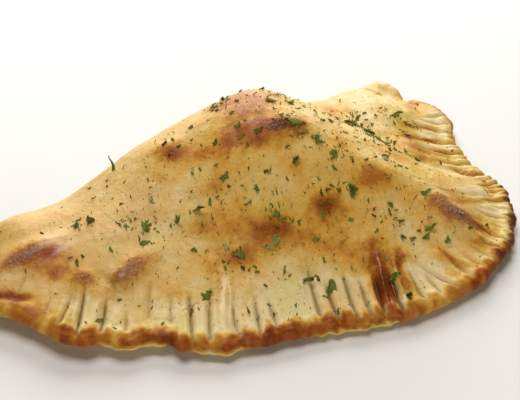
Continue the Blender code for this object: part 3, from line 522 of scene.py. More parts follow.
class Plan:
    """The outline of the dough seen from above, and places measured from it."""

    def __init__(self, rim_reach, fold_reach):
        self.rim_reach = rim_reach
        outline = spline(RIM_POINTS + FOLD_POINTS, CURVE_STEPS)
        self.outline = outline - (outline.min(0) + outline.max(0)) / 2
        self.half_size = self.outline.max(0)
        rim_count = (len(RIM_POINTS) - 1) * CURVE_STEPS + 1
        self.rim = self.outline[:rim_count]
        self.fold = self.outline[rim_count:]
        self.ring = np.vstack([self.outline, self.outline[:1]])
        self.around = lengths_along(self.ring)
        ahead = np.roll(self.outline, -1, 0) - np.roll(self.outline, 1, 0)
        self.normals = np.stack([ahead[:, 1], -ahead[:, 0]], 1) / np.linalg.norm(ahead, axis=1)[:, None]
        self.fold_weight = self.soften(np.arange(len(self.outline)) >= rim_count)
        self.reaches = rim_reach + (fold_reach - rim_reach) * self.fold_weight
        trims = np.concatenate([eased(TRIMS, lengths_along(self.rim)), np.zeros(len(self.fold))])
        skin = self.outline - self.normals * (self.reaches + trims)[:, None] - HUB
        angles = np.arctan2(skin[:, 1], skin[:, 0])
        order = np.argsort(angles)
        self.angles = angles[order]
        self.reach = np.linalg.norm(skin, axis=1)[order]

    def soften(self, inside):
        """1 where inside and 0 elsewhere, with an even slope over the spans beside each end."""
        width = 2 * CURVE_STEPS
        window = np.hanning(2 * width + 1)
        values = np.concatenate([inside[-width:], inside, inside[:width]]).astype(float)
        return np.convolve(values, window / window.sum(), "valid")

    def spread(self, square):
        """Places in the plan for places in the square from -1 to 1, with its edge on the skin's edge."""
        x = square[:, 0] * np.sqrt(1 - square[:, 1] ** 2 / 2)
        y = square[:, 1] * np.sqrt(1 - square[:, 0] ** 2 / 2)
        angle = np.arctan2(y * self.half_size[1], x * self.half_size[0])
        reach = np.interp(angle, self.angles, self.reach, period=2 * math.pi)
        return HUB + np.stack([np.cos(angle), np.sin(angle)], 1) * (np.hypot(x, y) * reach)[:, None]

    def contains(self, place):
        """Whether a place lies on the skin."""
        across, up = place - HUB
        reach = np.interp(math.atan2(up, across), self.angles, self.reach, period=2 * math.pi)
        return math.hypot(across, up) < reach

    def measure(self, places):
        """Distance from the rim, distance along it, and distance from the fold."""
        from_rim, along = nearest(places, self.rim)
        from_fold, _ = nearest(places, self.fold)
        return np.maximum(from_rim - eased(TRIMS, along), 0), along, from_fold

    def around_outline(self, places, values):
        """Values given for each point of the outline, read at the points nearest to places."""
        _, length = nearest(places, self.ring)
        return np.interp(length, self.around[:-1], values, period=self.around[-1])


def along_mark(from_rim, start, end, ease):
    """1 between a mark's two ends."""
    before, after = ease
    return stretch(from_rim, (start - before, start + after), (end - MARK_FADE, end))


def mark_shares(from_rim, along):
    """How deep each place is in a mark of the fork, and how high on the ribs beside the marks."""
    groove = np.zeros(len(from_rim))
    rib = np.zeros(len(from_rim))
    for place, lean, depth, half_width, start, end in MARKS:
        aside = np.abs(along - place - lean * (from_rim - start)) / half_width
        inward = along_mark(from_rim, start, end, MARK_EASE)
        hollow = sum(share * hill(aside / width) for share, width in HOLLOW)
        groove = np.maximum(groove, depth * hollow * inward)
        rib = np.maximum(rib, depth * hill((aside - RIB_PLACE) / RIB_WIDTH) * inward)
    return groove, rib


def nearest_mark(from_rim, along):
    """How far each place is to one side of the nearest mark of the fork, and that mark's depth there."""
    aside = np.full(len(from_rim), np.inf)
    depth_there = np.zeros(len(from_rim))
    for place, lean, depth, _, start, end in MARKS:
        offset = along - place - lean * (from_rim - start)
        closer = np.abs(offset) < np.abs(aside)
        inward = along_mark(from_rim, start, end, CUT_EASE)
        aside = np.where(closer, offset, aside)
        depth_there = np.where(closer, depth * inward, depth_there)
    return aside, depth_there * (1 - smooth(*CUT_SIDES, np.abs(aside)))


def edge_wave(along, column):
    """How far the rim's edge stands out of line: column 1 outwards, column 2 up."""
    return layered(on_line(along), (
        (wave[0], EDGE_LAYER + 10 * column + number, wave[column]) for number, wave in enumerate(EDGE_WAVES)
    ))


def tooth_relief(along):
    """How far each tooth of the dark rim stands back, as a share of the depth of the teeth."""
    start, end, pitch, _ = TEETH
    sway, length = TEETH_SWAY
    wave = np.abs(np.sin(math.pi * (along - start) / pitch + sway * np.sin(along / length)))
    return (1 - wave) ** 2 * span(along, start, end, TEETH_EASE)


def dome_height(places, from_rim, from_fold):
    """How far the filling lifts the dough above the flat rim."""
    share = from_rim / (from_rim + from_fold)
    rise = np.sin(np.clip(share / CREST_SHARE, 0, 1) * math.pi / 2) ** RISE_POWER
    fall = 1 - (1 - FOLD_EDGE) * np.clip((share - CREST_SHARE) / (1 - CREST_SHARE), 0, 1) ** FALL_POWER
    lift = np.zeros(len(places))
    for x, y, left, right, reach_y, height in MOUNDS:
        reach_x = np.where(places[:, 0] < x, left, right)
        lift += height * hill((places[:, 0] - x) / reach_x) * hill((places[:, 1] - y) / reach_y)
    for corner in CORNERS:
        lift *= smooth(0, CORNER_REACH, np.linalg.norm(places - corner, axis=1))
    return lift * rise * fall


def blister_height(places):
    """Bubbles that have swollen under the skin."""
    height = np.zeros(len(places))
    for *where, rise in BLISTERS:
        height += rise * np.exp(-oval(places, *where) ** 3)
    return height


def stroke_height(places):
    """Folds above the skin and creases below it, fading at both ends."""
    height = np.zeros(len(places))
    for points, half_width, rise in STROKES:
        points = np.array(points, float)
        t = np.linspace(0, 1, STROKE_SAMPLES)
        knots = np.linspace(0, 1, len(points))
        line = np.stack([np.interp(t, knots, points[:, 0]), np.interp(t, knots, points[:, 1])], 1)
        distance, length = nearest(places, line)
        share = length / lengths_along(line)[-1]
        ends = stretch(share, (0, STROKE_FADE), (1 - STROKE_FADE, 1))
        height += rise * hill(distance / half_width) * (STROKE_LEAST + (1 - STROKE_LEAST) * ends)
    return height


def bubble_height(places, count, size, half_size):
    """Small bubbles strewn over the skin, thickest where it is brown."""
    draw = random.Random(SEED)
    height = np.zeros(len(places))
    homes = [spot[:3] for spot in SPOTS]
    for _ in range(count):
        if draw.random() < BUBBLES_ON_SPOTS:
            x, y, length = draw.choice(homes)
            spot = (x + draw.gauss(0, BUBBLE_SPREAD) * length, y + draw.gauss(0, BUBBLE_SPREAD) * length)
        else:
            spot = (draw.uniform(-1, 1) * half_size[0], draw.uniform(-1, 1) * half_size[1])
        reach = size * draw.uniform(BUBBLE_LEAST, 1) ** BUBBLE_POWER
        near = np.where((np.abs(places - spot) < BUBBLE_EXTENT * reach).all(1))[0]
        distance = np.linalg.norm(places[near] - spot, axis=1) / reach
        height[near] = np.maximum(height[near], BUBBLE_HEIGHT * reach * hill(distance))
    return height


def tab_weight(places):
    """1 on the pale tab, where the upper layer stops, and 0 elsewhere."""
    beyond = (places - TAB_CORNER) @ np.array(TAB_ACROSS)
    above = places[:, 1] - TAB_CORNER[1]
    return smooth(-TAB_EASE, TAB_EASE, np.minimum(beyond, above))


def rim_lift(along):
    """How far the underside of the rim stands clear of the table."""
    return read_off(RIM_LIFTS, along)


def skin_height(places, plan, shape):
    """Height of the upper skin of the dough at each place."""
    from_rim, along, from_fold = plan.measure(places)
    sealed = smooth(*SEALED, from_fold)
    from_bead = (from_rim - plan.rim_reach - BEAD_PLACE) / (shape.bead_width / MM)
    bead = (shape.bead_height / MM + edge_wave(along, 2)) * hill(from_bead)
    bead *= (1 - TEETH_IN_BEAD * tooth_relief(along)) * sealed
    lift = rim_lift(along) * (1 - smooth(0, LIFT_REACH, from_rim)) * sealed
    thin = read_off(RIM_SIZES, along) - shape.rim_height / MM
    thin *= (1 - smooth(0, SIZE_REACH, from_rim)) * sealed
    skin = blister_height(places) + stroke_height(places) + roughen(places, WAVE_SIZE, SEED) * WAVE_HEIGHT
    for layer, (size, rise) in enumerate(RIPPLES):
        skin += roughen(places, size, SEED + 10 * (layer + 1)) * rise
    skin += bubble_height(places, shape.bubbles, shape.bubble_size / MM, plan.half_size)
    free = smooth(plan.rim_reach, FREE_SKIN, from_rim)
    groove, rib = mark_shares(from_rim, along)
    height = shape.rim_height / MM + bead + dome_height(places, from_rim, from_fold) + lift + thin
    height += skin * (RIM_SKIN_SHARE + (1 - RIM_SKIN_SHARE) * free)
    height += (rib * shape.rib_share - groove) * sealed
    return height - TAB_STEP * tab_weight(places)


def side_rings(plan, places, heights):
    """Places and heights of each ring of the side and underside, out and down from the skin's edge."""
    _, along, _ = plan.measure(places)
    weight = plan.around_outline(places, plan.fold_weight)
    sealed = 1 - weight
    normals = np.stack([plan.around_outline(places, part) for part in plan.normals.T], 1)
    normals /= np.linalg.norm(normals, axis=1)[:, None]
    foot = rim_lift(along) * sealed
    groove, _ = mark_shares(np.full(len(along), NOTCH_PLACE), along)
    reach = plan.around_outline(places, plan.reaches)
    reach += (edge_wave(along, 1) - NOTCH_SHARE * groove - TEETH[3] * tooth_relief(along)) * sealed
    sway, length, wander, slowness = LIP_SWAY
    lip_wave = 1 + sway * np.sin(along / length + wander * np.sin(along / slowness))
    lip = np.zeros(len(places))
    for start, end, out in LIPS:
        lip = np.maximum(lip, out * span(along, start, end, LIP_EASE))
    rings = []
    lipped = np.clip(lip / LIP_FULL, 0, 1)
    for number, (plain, split, fold_part) in enumerate(zip(RIM_SIDE, LIPPED_SIDE, FOLD_SIDE)):
        out, rise = (
            (whole * (1 - lipped) + parted * lipped) * sealed + folded * weight
            for whole, parted, folded in zip(plain, split, fold_part)
        )
        lower = number >= len(RIM_SIDE) - LOWER_RINGS - 1
        aside = reach * out + (lip * lip_wave * sealed if lower else 0)
        rings.append((places + normals * aside[:, None], foot + (heights - foot) * rise))
    for share, lifted in UNDERSIDE:
        rings.append((HUB + (places - HUB) * share, foot * lifted))
    return rings


def paint(mesh, name, values):
    """Write one number for each vertex, for a material to read."""
    attribute = mesh.attributes.new(name, "FLOAT", "POINT")
    attribute.data.foreach_set("value", np.asarray(values, np.float32))


def vertex_places(mesh):
    """All of a mesh's vertices as one array."""
    places = np.empty(len(mesh.vertices) * 3)
    mesh.vertices.foreach_get("co", places)
    return places.reshape(-1, 3)


def move_vertices(mesh, places):
    """Put all of a mesh's vertices in place."""
    mesh.vertices.foreach_set("co", np.asarray(places, np.float32).ravel())
    mesh.update()


def deselect_all():
    """Nothing selected, before an operator that acts on all that is."""
    if bpy.context.mode != "OBJECT":
        bpy.ops.object.mode_set(mode="OBJECT")
    bpy.ops.object.select_all(action="DESELECT")


def face_outwards():
    """Every face of the object in edit mode turned outwards, and smooth shading."""
    bpy.ops.mesh.select_all(action="SELECT")
    bpy.ops.mesh.normals_make_consistent(inside=False)
    bpy.ops.object.mode_set(mode="OBJECT")
    bpy.ops.object.shade_smooth()


def select_boundary(mesh):
    """Select the open edge of a mesh that is in object mode, and return its vertices."""
    counts = {}
    for polygon in mesh.polygons:
        for key in polygon.edge_keys:
            counts[key] = counts.get(key, 0) + 1
    chosen = set()
    for polygon in mesh.polygons:
        polygon.select = False
    for edge in mesh.edges:
        edge.select = counts[edge.key] == 1
        if edge.select:
            chosen.update(edge.vertices)
    for vertex in mesh.vertices:
        vertex.select = vertex.index in chosen
    return sorted(chosen)


def shape_crust(shape):
    """The skin as a grid raised to its height, with its side and underside extruded from its edge."""
    deselect_all()
    bpy.ops.mesh.primitive_grid_add(x_subdivisions=shape.grid_x, y_subdivisions=shape.grid_y, size=2)
    crust = bpy.context.object
    crust.name = crust.data.name = "baked_crust"
    mesh = crust.data
    plan = Plan(shape.rim_reach / MM, shape.fold_reach / MM)
    places = plan.spread(vertex_places(mesh)[:, :2])
    heights = skin_height(places, plan, shape)
    move_vertices(mesh, np.column_stack([places, heights]) * MM)
    edge = select_boundary(mesh)
    order = np.full(len(mesh.vertices), -1, np.int32)
    order[edge] = np.arange(len(edge))
    mesh.attributes.new("edge order", "INT", "POINT").data.foreach_set("value", order)
    bpy.context.tool_settings.mesh_select_mode = (False, True, False)
    for ring_places, ring_heights in side_rings(plan, places[edge], heights[edge]):
        ring = np.column_stack([ring_places, ring_heights]) * MM
        bpy.ops.object.mode_set(mode="EDIT")
        bpy.ops.mesh.extrude_edges_move()
        bpy.ops.object.mode_set(mode="OBJECT")
        selected = np.empty(len(mesh.vertices), bool)
        mesh.vertices.foreach_get("select", selected)
        order = np.empty(len(mesh.vertices), np.int32)
        mesh.attributes["edge order"].data.foreach_get("value", order)
        everything = vertex_places(mesh)
        everything[selected] = ring[order[selected]]
        move_vertices(mesh, everything)
    bpy.ops.object.mode_set(mode="EDIT")
    bpy.ops.mesh.edge_face_add()
    face_outwards()
    mesh.attributes.remove(mesh.attributes["edge order"])
    paint_crust(mesh, plan)
    return crust, plan


def most_of(places, ovals):
    """The strongest of several oval spots at each place."""
    return np.max([hill(oval(places, *where)) for where in ovals], axis=0)


def rim_band(places, from_rim, along, aside):
    """1 on the browned edge of the rim and 0 past it."""
    line = on_line(along)
    between = smooth(*BETWEEN_MARKS, np.abs(aside))
    reach = BAND_REACH + BETWEEN_REACH * between
    reach += layered(line, BAND_LINE_NOISE) + layered(places, BAND_NOISE)
    reach *= 1 - NARROWING * stretch(along, *NARROW_BAND)
    reach += WIDENING * stretch(along, *WIDE_BAND)
    inner, outer = BAND_EDGES
    return 1 - smooth(reach * inner, reach * outer, from_rim)


def pale_side(heights, from_rim, along):
    """How pale the lower half of the rim's side is, palest where the lower layer shows."""
    lower = (1 - smooth(*PALE_HEIGHTS, heights - rim_lift(along))) * (1 - smooth(*PALE_REACH, from_rim))
    lipped = np.max([span(along, start, end, PALE_LIP_EASE) for start, end, _ in LIPS], axis=0)
    return lower * (PALE_SHARE + PALE_LIP_SHARE * lipped)


def paint_crust(mesh, plan):
    """How brown, burnt, flushed and oily each place of the crust is, with painted shade and light at marks.
    """
    points = vertex_places(mesh) / MM
    places, heights = points[:, :2], points[:, 2]
    from_rim, along, from_fold = plan.measure(places)
    groove, rib = mark_shares(from_rim, along)
    mound = smooth(*DOME_HEIGHTS, heights)
    past_flap_edge = places[:, 0] - read_off(FLAP_EDGE, places[:, 1])
    flap = smooth(*FLAP_EASE, past_flap_edge + layered(places, FLAP_NOISE))
    brown = LEAST_BAKE + DOME_BAKE * mound * (1 - flap) + FLAP_BAKE * flap + layered(places, BAKE_NOISE)
    burnt = np.zeros(len(places))
    edges = 1 + layered(places, SPOT_NOISE)
    for *where, toast, dark in SPOTS:
        far = oval(places, *where) * edges
        brown = brown + toast * hill(far * SPOT_TOAST_REACH)
        burnt = np.maximum(burnt, dark * hill(far ** SPOT_DARK_POWER))
    stops, bakes, blacks = zip(*RIM_BAKE)
    sealed = smooth(*BAKED_SEAL, from_fold)
    aside, mark = nearest_mark(from_rim, along)
    band = rim_band(places, from_rim, along, aside) * sealed
    pale = pale_side(heights, from_rim, along)
    line = on_line(along)
    bake = np.interp(along, stops, bakes) + layered(line, RIM_LINE_NOISE) + layered(places, RIM_NOISE)
    brown = np.maximum(brown, bake * band) * (1 - pale) + PALE_BAKE * pale
    streaked = stretch(along, *STREAKED)
    streaks = STREAK_BAKE * groove * (1 + layered(places, STREAK_NOISE)) - STREAK_RIB * rib
    # Painted shade in the hollows of the front marks, and painted light on their ribs
    groove_painted_shading = GROOVE_PAINTED_SHADE * groove - GROOVE_RIB_PAINTED_LIGHT * rib
    # Painted light on the ribs, and the paler flat zone of the pressed dough
    pressed = RIB_PAINTED_LIGHT * rib + PRESSED_BAKE * stretch(from_rim, *PRESSED) * sealed
    brown += (streaked * streaks + (1 - streaked) * groove_painted_shading - pressed) * (1 - band)
    black = np.interp(along, stops, blacks) * (1 + layered(line, BLACK_NOISE))
    burnt = np.maximum(burnt, black * (1 - smooth(*BLACK_REACH, from_rim * edges)) * sealed)
    # Pinker, paler skin on the left, partly a painted sheen
    flush = np.zeros(len(places))
    for x, y, size, share in FLUSH_AND_SHEEN:
        flush = np.maximum(flush, share * hill(np.hypot(places[:, 0] - x, places[:, 1] - y) / size))
    paint(mesh, "brown", np.clip(brown, 0, MOST_BAKE))
    paint(mesh, "burnt", np.clip(burnt, 0, 1))
    paint(mesh, "flush", flush)
    paint(mesh, "oil", most_of(places, OILY))
    paint(mesh, "groove", groove * (1 - STREAK_GROOVE_LOSS * streaked))
    paint(mesh, "aside", np.clip(aside, -FARTHEST_ASIDE, FARTHEST_ASIDE))
    paint(mesh, "mark", mark * (1 - STREAK_MARK_LOSS * streaked))


class Number:
    """A number that changes over a surface. Arithmetic on it adds Math nodes."""

    def __init__(self, finish, socket):
        self.finish = finish
        self.socket = socket

    def math(self, operation, *values):
        node = self.finish.node("ShaderNodeMath", {"operation": operation}, dict(enumerate(values)))
        return Number(self.finish, node.outputs[0])

    def __add__(self, other):
        return self.math("ADD", self, other)

    def __radd__(self, other):
        return self.math("ADD", other, self)

    def __sub__(self, other):
        return self.math("SUBTRACT", self, other)

    def __rsub__(self, other):
        return self.math("SUBTRACT", other, self)

    def __mul__(self, other):
        return self.math("MULTIPLY", self, other)

    def __rmul__(self, other):
        return self.math("MULTIPLY", other, self)

    def hill(self, width):
        """A bell that is 1 at 0 and near 0 at twice its width."""
        return self.math("EXPONENT", self * self * (-1 / width ** 2))

    def between(self, low, high):
        """0 below low, 1 above high, and an even S between."""
        settings = {"interpolation_type": "SMOOTHSTEP"}
        values = {"Value": self, "From Min": low, "From Max": high}
        node = self.finish.node("ShaderNodeMapRange", settings, values)
        return Number(self.finish, node.outputs["Result"])


class Finish:
    """A material under construction."""

    def __init__(self, name):
        self.material = bpy.data.materials.new(name)
        self.material.use_nodes = True
        self.tree = self.material.node_tree
        self.shader = self.tree.nodes["Principled BSDF"]
        self.places = self.node("ShaderNodeTexCoord", {}, {}).outputs["Object"]

    def node(self, kind, settings, inputs):
        """A node with its settings made first, then its values or links."""
        node = self.tree.nodes.new(kind)
        for key, value in settings.items():
            if key == "stops":
                self.set_stops(node.color_ramp, value)
            else:
                setattr(node, key, value)
        for key, value in inputs.items():
            self.feed(node.inputs[key], value)
        return node

    def feed(self, socket, value):
        """Link a socket to a number or another socket, or set it."""
        if isinstance(value, Number):
            self.tree.links.new(value.socket, socket)
        elif isinstance(value, bpy.types.NodeSocket):
            self.tree.links.new(value, socket)
        else:
            socket.default_value = value

    def set_stops(self, ramp, stops):
        """The stops of a colour ramp: place and colour."""
        while len(ramp.elements) < len(stops):
            ramp.elements.new(1)
        for element, (place, colour) in zip(ramp.elements, stops):
            element.position = place
            element.color = (*colour, 1)

    def set(self, **values):
        """Values or links of the shader's sockets, named with underscores for spaces."""
        for key, value in values.items():
            self.feed(self.shader.inputs[key.replace("_", " ")], value)

    def attribute(self, name):
        """A number painted on the mesh."""
        return Number(self, self.node("ShaderNodeAttribute", {"attribute_name": name}, {}).outputs["Fac"])

    def noise(self, scale, detail=2.0, roughness=0.5):
        """Noise from 0 to 1 with hollows of about one over scale metres."""
        values = {"Vector": self.places, "Scale": scale, "Detail": detail, "Roughness": roughness}
        return Number(self, self.node("ShaderNodeTexNoise", {}, values).outputs[0])

    def cells(self, scale):
        """Distance to the nearest of many scattered points, in cells."""
        values = {"Vector": self.places, "Scale": scale}
        return Number(self, self.node("ShaderNodeTexVoronoi", {}, values).outputs["Distance"])

    def ramp(self, value, stops):
        """A colour picked by a number."""
        return self.node("ShaderNodeValToRGB", {"stops": stops}, {"Fac": value}).outputs["Color"]

    def mix(self, factor, first, second, blend="MIX"):
        """From the first colour at 0 to the second at 1."""
        colours = {0: factor, 6: self.colour(first), 7: self.colour(second)}
        return self.node("ShaderNodeMix", {"data_type": "RGBA", "blend_type": blend}, colours).outputs[2]

    def colour(self, value):
        """A colour with its alpha, or a link as it is."""
        return value if isinstance(value, bpy.types.NodeSocket) else (*value, 1)

    def bump(self, height, distance):
        """A normal from a height between 0 and 1, with that many metres for 1."""
        values = {"Strength": 1.0, "Distance": distance, "Height": height}
        return self.node("ShaderNodeBump", {}, values).outputs["Normal"]


# Noise in the crust's finish: hollows to a metre, detail and roughness
BLOTCHES = (150, 3.0, 0.6)
MOTTLE = (520, 4.0, 0.65)
GRAIN = (1900, 3.0, 0.6)
SPECKLES = (330, 4.0, 0.7)
DRIFT = (55, 2.0, 0.6)
FLECK_PATCHES = 120
# Cells of the herb dust and of the blisters' bubbles to a metre
FLECKS = 700
BUBBLES = 760
# What blotches, mottle, grain and speckles add to the baking
BAKE_SHARES = (0.42, 0.30, 0.12)
SPECKLE_SHARE = 0.16
# How brown the crust is where each of its colours is pure
COLOUR_STOPS = (0.0, 0.20, 0.38, 0.58, 0.78, 1.0)
# Slow changes of tone, to a redder and to a greener crust
REDDER = (1.03, 0.88, 0.70)
GREENER = (0.95, 1.03, 0.82)
TINT_SHARE = 0.8
TINT_LIMITS = ((0.50, 0.70), (0.48, 0.30))
# Pinker skin, partly a painted sheen, where it is pale: its strength and where baking hides it
FLUSH_STRENGTH = 0.75
FLUSH_FADE = (0.3, 0.6)
# Charring: what mottle and grain add to it, its limits and strength, and how flushed the plum places are
CHAR_NOISE = (0.45, 0.25)
CHAR_LIMITS = (0.25, 0.95)
CHAR_STRENGTH = 0.85
PLUM_LIMITS = (0.2, 0.7)
# Painted shade in the hollow of a mark, with the greyer tone of pressed dough:
# how deep it is where it shows, in millimetres over a share
GROOVE_SHADE_SHARE = 0.09
GROOVE_SHADE_LIMITS = (0.0, 0.6)
# Painted shade at the bottom of a fork's mark: half width in millimetres and strength, and where baking
# hides it
MARK_STRENGTH = 0.7
CUT_SHADE_WIDTH = 0.36
CUT_SHADE_STRENGTH = 0.72
CUT_WANDER = 0.3
CUT_FADE = (0.42, 0.70)
# Painted highlights on the ridges beside it: place aside, half width and strength
RIDGE_HIGHLIGHTS = ((1.2, 0.85, 0.65), (-1.2, 0.5, 0.25))
# Herb dust: how near a cell's middle it lies, where its patches are, and its strength
FLECK_LIMITS = (0.26, 0.10)
PATCH_LIMITS = (0.46, 0.60)
FLECK_STRENGTH = 0.55
# Oil: how much blotches break it up, and its limits
OIL_NOISE = 0.5
OIL_LIMITS = (0.25, 0.9)
SPECKLE_LIMITS = (0.56, 0.74)
# Roughness of dry crust, and what mahogany, oil, charring and mottle add to it; coat of dry crust and of oil
DRY_ROUGHNESS = 0.46
DARK_LIMITS = (0.5, 0.9)
ROUGHNESS_SHARES = (-0.08, -0.18, 0.06, 0.2)
DRY_COAT = 0.04
OIL_COAT = 0.7
# What blotches, mottle, grain, bubbles and marks add to the height of the relief, and its height in metres
RELIEF_SHARES = (0.60, 0.24, 0.06)
BUBBLE_LIMITS = (0.75, 0.0)
BUBBLE_RELIEF = 0.34
LEAST_BUBBLED = 0.1
MARK_RELIEF = 0.55
MARK_RELIEF_WIDTH = 0.42
RELIEF = 0.001


def crust_colour(finish, colours, level, charred, mottle):
    """Cream to mahogany by brownness; flush, char, herb dust, and painted shade and highlights at marks."""
    baked = (colours.cream, colours.straw, colours.golden, colours.amber, colours.russet, colours.mahogany)
    colour = finish.ramp(level, tuple(zip(COLOUR_STOPS, baked)))
    drift = finish.noise(*DRIFT)
    for limits, tint in zip(TINT_LIMITS, (REDDER, GREENER)):
        colour = finish.mix(drift.between(*limits) * TINT_SHARE, colour, tint, "MULTIPLY")
    # Pinker, paler skin on the left, partly a painted sheen
    flush = finish.attribute("flush")
    colour = finish.mix(flush * (1 - level.between(*FLUSH_FADE)) * FLUSH_STRENGTH, colour, colours.flush)
    # Plum blisters, paler and greyer in part as a painted sheen
    blisters_and_sheen = finish.mix(flush.between(*PLUM_LIMITS), colours.burnt, colours.plum)
    colour = finish.mix(charred * CHAR_STRENGTH, colour, blisters_and_sheen)
    groove = finish.attribute("groove")
    # Painted shade in the marks' hollows, with the greyer tone of pressed dough
    colour = finish.mix((groove * GROOVE_SHADE_SHARE).between(*GROOVE_SHADE_LIMITS), colour, colours.shade)
    # Painted shade along the bottom of each mark, and painted highlights on the ridges beside it
    pressed = finish.attribute("mark") * MARK_STRENGTH * (1 - level.between(*CUT_FADE)) * (1 - charred)
    aside = finish.attribute("aside")
    cut = (aside + CUT_WANDER * (mottle - 0.5)).hill(CUT_SHADE_WIDTH)
    colour = finish.mix(pressed * cut * CUT_SHADE_STRENGTH, colour, colours.cut)
    # Painted highlights, in cream, on the ridges beside each mark
    for place, width, strength in RIDGE_HIGHLIGHTS:
        colour = finish.mix(pressed * (aside - place).hill(width) * strength, colour, colours.cream)
    patches = finish.noise(FLECK_PATCHES).between(*PATCH_LIMITS)
    fleck = finish.cells(FLECKS).between(*FLECK_LIMITS) * patches
    return finish.mix(fleck * FLECK_STRENGTH, colour, colours.fleck)


def finish_crust(colours):
    """Baked dough with its colours, its bubbled relief and a sheen of oil."""
    finish = Finish("baked crust")
    burnt = finish.attribute("burnt")
    layers = [finish.noise(*layer) for layer in (BLOTCHES, MOTTLE, GRAIN)]
    blotches, mottle, grain = layers
    level = finish.attribute("brown")
    for share, layer in zip(BAKE_SHARES, layers):
        level = level + share * (layer - 0.5)
    level = level + SPECKLE_SHARE * finish.noise(*SPECKLES).between(*SPECKLE_LIMITS)
    charred = (burnt + CHAR_NOISE[0] * (mottle - 0.5) + CHAR_NOISE[1] * (grain - 0.5)).between(*CHAR_LIMITS)
    damp = (finish.attribute("oil") + OIL_NOISE * (blotches - 0.5)).between(*OIL_LIMITS)
    bubbles = finish.cells(BUBBLES).between(*BUBBLE_LIMITS)
    height = BUBBLE_RELIEF * bubbles * (burnt + LEAST_BUBBLED)
    for share, layer in zip(RELIEF_SHARES, layers):
        height = height + share * layer
    mark = finish.attribute("mark") * MARK_STRENGTH
    height = height - MARK_RELIEF * mark * finish.attribute("aside").hill(MARK_RELIEF_WIDTH)
    roughness = DRY_ROUGHNESS
    for share, amount in zip(ROUGHNESS_SHARES, (level.between(*DARK_LIMITS), damp, charred, mottle - 0.5)):
        roughness = roughness + share * amount
    finish.set(
        Base_Color=crust_colour(finish, colours, level, charred, mottle),
        Roughness=roughness,
        Coat_Weight=DRY_COAT + OIL_COAT * damp,
        Coat_Roughness=0.26,
        Specular_IOR_Level=0.15,
        Specular_Tint=(1.0, 0.84, 0.62, 1.0),
        Subsurface_Weight=0.10,
        Subsurface_Radius=(1.0, 0.45, 0.18),
        Subsurface_Scale=0.0025,
        Normal=finish.bump(height, RELIEF),
    )
    return finish.material


# How pale a flake is where each of the leaf's colours is pure, and the height of its relief in metres
LEAF_STOPS = (0.0, 0.25, 0.45, 0.7, 1.0)
LEAF_RELIEF = 0.00012
# Noise in a leaf's tone, roughness and relief: hollows to a metre and detail; what the first two add
LEAF_MOTTLE = (900, 3.0)
LEAF_MOTTLE_SHARE = 0.5
LEAF_MATT = 1500
LEAF_ROUGHNESS = (0.75, 0.3)
LEAF_GRAIN = (2600, 3.0)


def finish_herb(look):
    """Dried leaf: dull green, each flake in its own tone."""
    finish = Finish("dried leaf")
    tone = finish.attribute("tone") + LEAF_MOTTLE_SHARE * (finish.noise(*LEAF_MOTTLE) - 0.5)
    roughness, variety = LEAF_ROUGHNESS
    tones = (look.dark_leaf, look.brown_leaf, look.leaf, look.green_leaf, look.pale_leaf)
    finish.set(
        Base_Color=finish.ramp(tone, tuple(zip(LEAF_STOPS, tones))),
        Roughness=roughness + variety * (finish.noise(LEAF_MATT) - 0.5),
        Specular_IOR_Level=0.1,
        Normal=finish.bump(finish.noise(*LEAF_GRAIN), LEAF_RELIEF),
    )
    return finish.material


# The flakes that stand out: x, y, length, width and turn in degrees
FLAKES = (
    (-18.5, -14, 5, 2.4, -53), (-35, -20, 4.2, 3.4, 0), (26, 2, 4.2, 2.6, -80), (22, 11, 4.6, 3, -36),
    (9, 15, 4, 2.1, -5), (22, 27, 4.4, 2.6, -50), (29, -17, 3.5, 2.8, -50), (0, -11, 3.2, 2.5, -88),
    (-5, -17, 3, 2.8, 34), (4, -39, 4.4, 2.1, 45), (26, -56, 3.2, 2.8, 0), (50, -38, 4.4, 1.9, 0),
    (54, -44, 3.2, 2, 42), (58, -26, 4.4, 1.9, -7), (-22, 7, 4.8, 1.6, -37), (-56, 29, 3.2, 2.8, -55),
    (-41, 14, 4.8, 2.6, -93), (-44, 9, 3.2, 2.5, -14), (-9, 10, 4, 2.4, 7), (29, -4, 3.2, 2.6, -95),
    (60, 25, 4.6, 2.2, -60), (65, 18, 4.6, 2.2, -75), (67, 10, 4.4, 2, -80), (85, 25, 4.6, 2.2, 3),
)
# Where the rest lie: centre x and y, reach and density, over an even thin scatter
SCATTERS = (
    (25, 10, 32, 0.9), (60, 20, 12, 1), (-10, -5, 30, 0.7), (-45, 15, 18, 0.4), (45, -30, 22, 0.5),
    (-43, 17, 5, 1.6), (67, 30, 4, 2), (66, 21, 4, 2.2), (67, 13, 4, 2.2), (70, 4, 4, 2), (80, 26, 7, 1),
    (34, -3, 5, 1.2),
)
# Chance away from those places, for a flake and for a smaller bit
FLAKE_SCATTER = 0.12
BIT_SCATTER = 0.22
# Least distance from the rim and from the fold
FLAKE_MARGINS = (6, 6)
BIT_MARGINS = (5, 4)
FLAKE_LENGTHS = (1.5, 3.1)
FLAKE_WIDTHS = (0.3, 0.7)
FLAKE_GAP = 0.4
BIT_WIDTHS = (0.2, 0.6)
BIT_LENGTHS = (0.7, 2.1)
CRUMB_LENGTHS = (0.3, 0.8)
HEAP_SPREAD = 0.7
# A kind of bit as a mesh: steps along and across, seed, and its tone and how much that varies
FLAKE_MESH = (7, 4, 11, 0.46, 0.20)
BIT_MESH = (4, 2, 12, 0.50, 0.24)
CRUMB_MESH = (2, 1, 13, 0.50, 0.24)
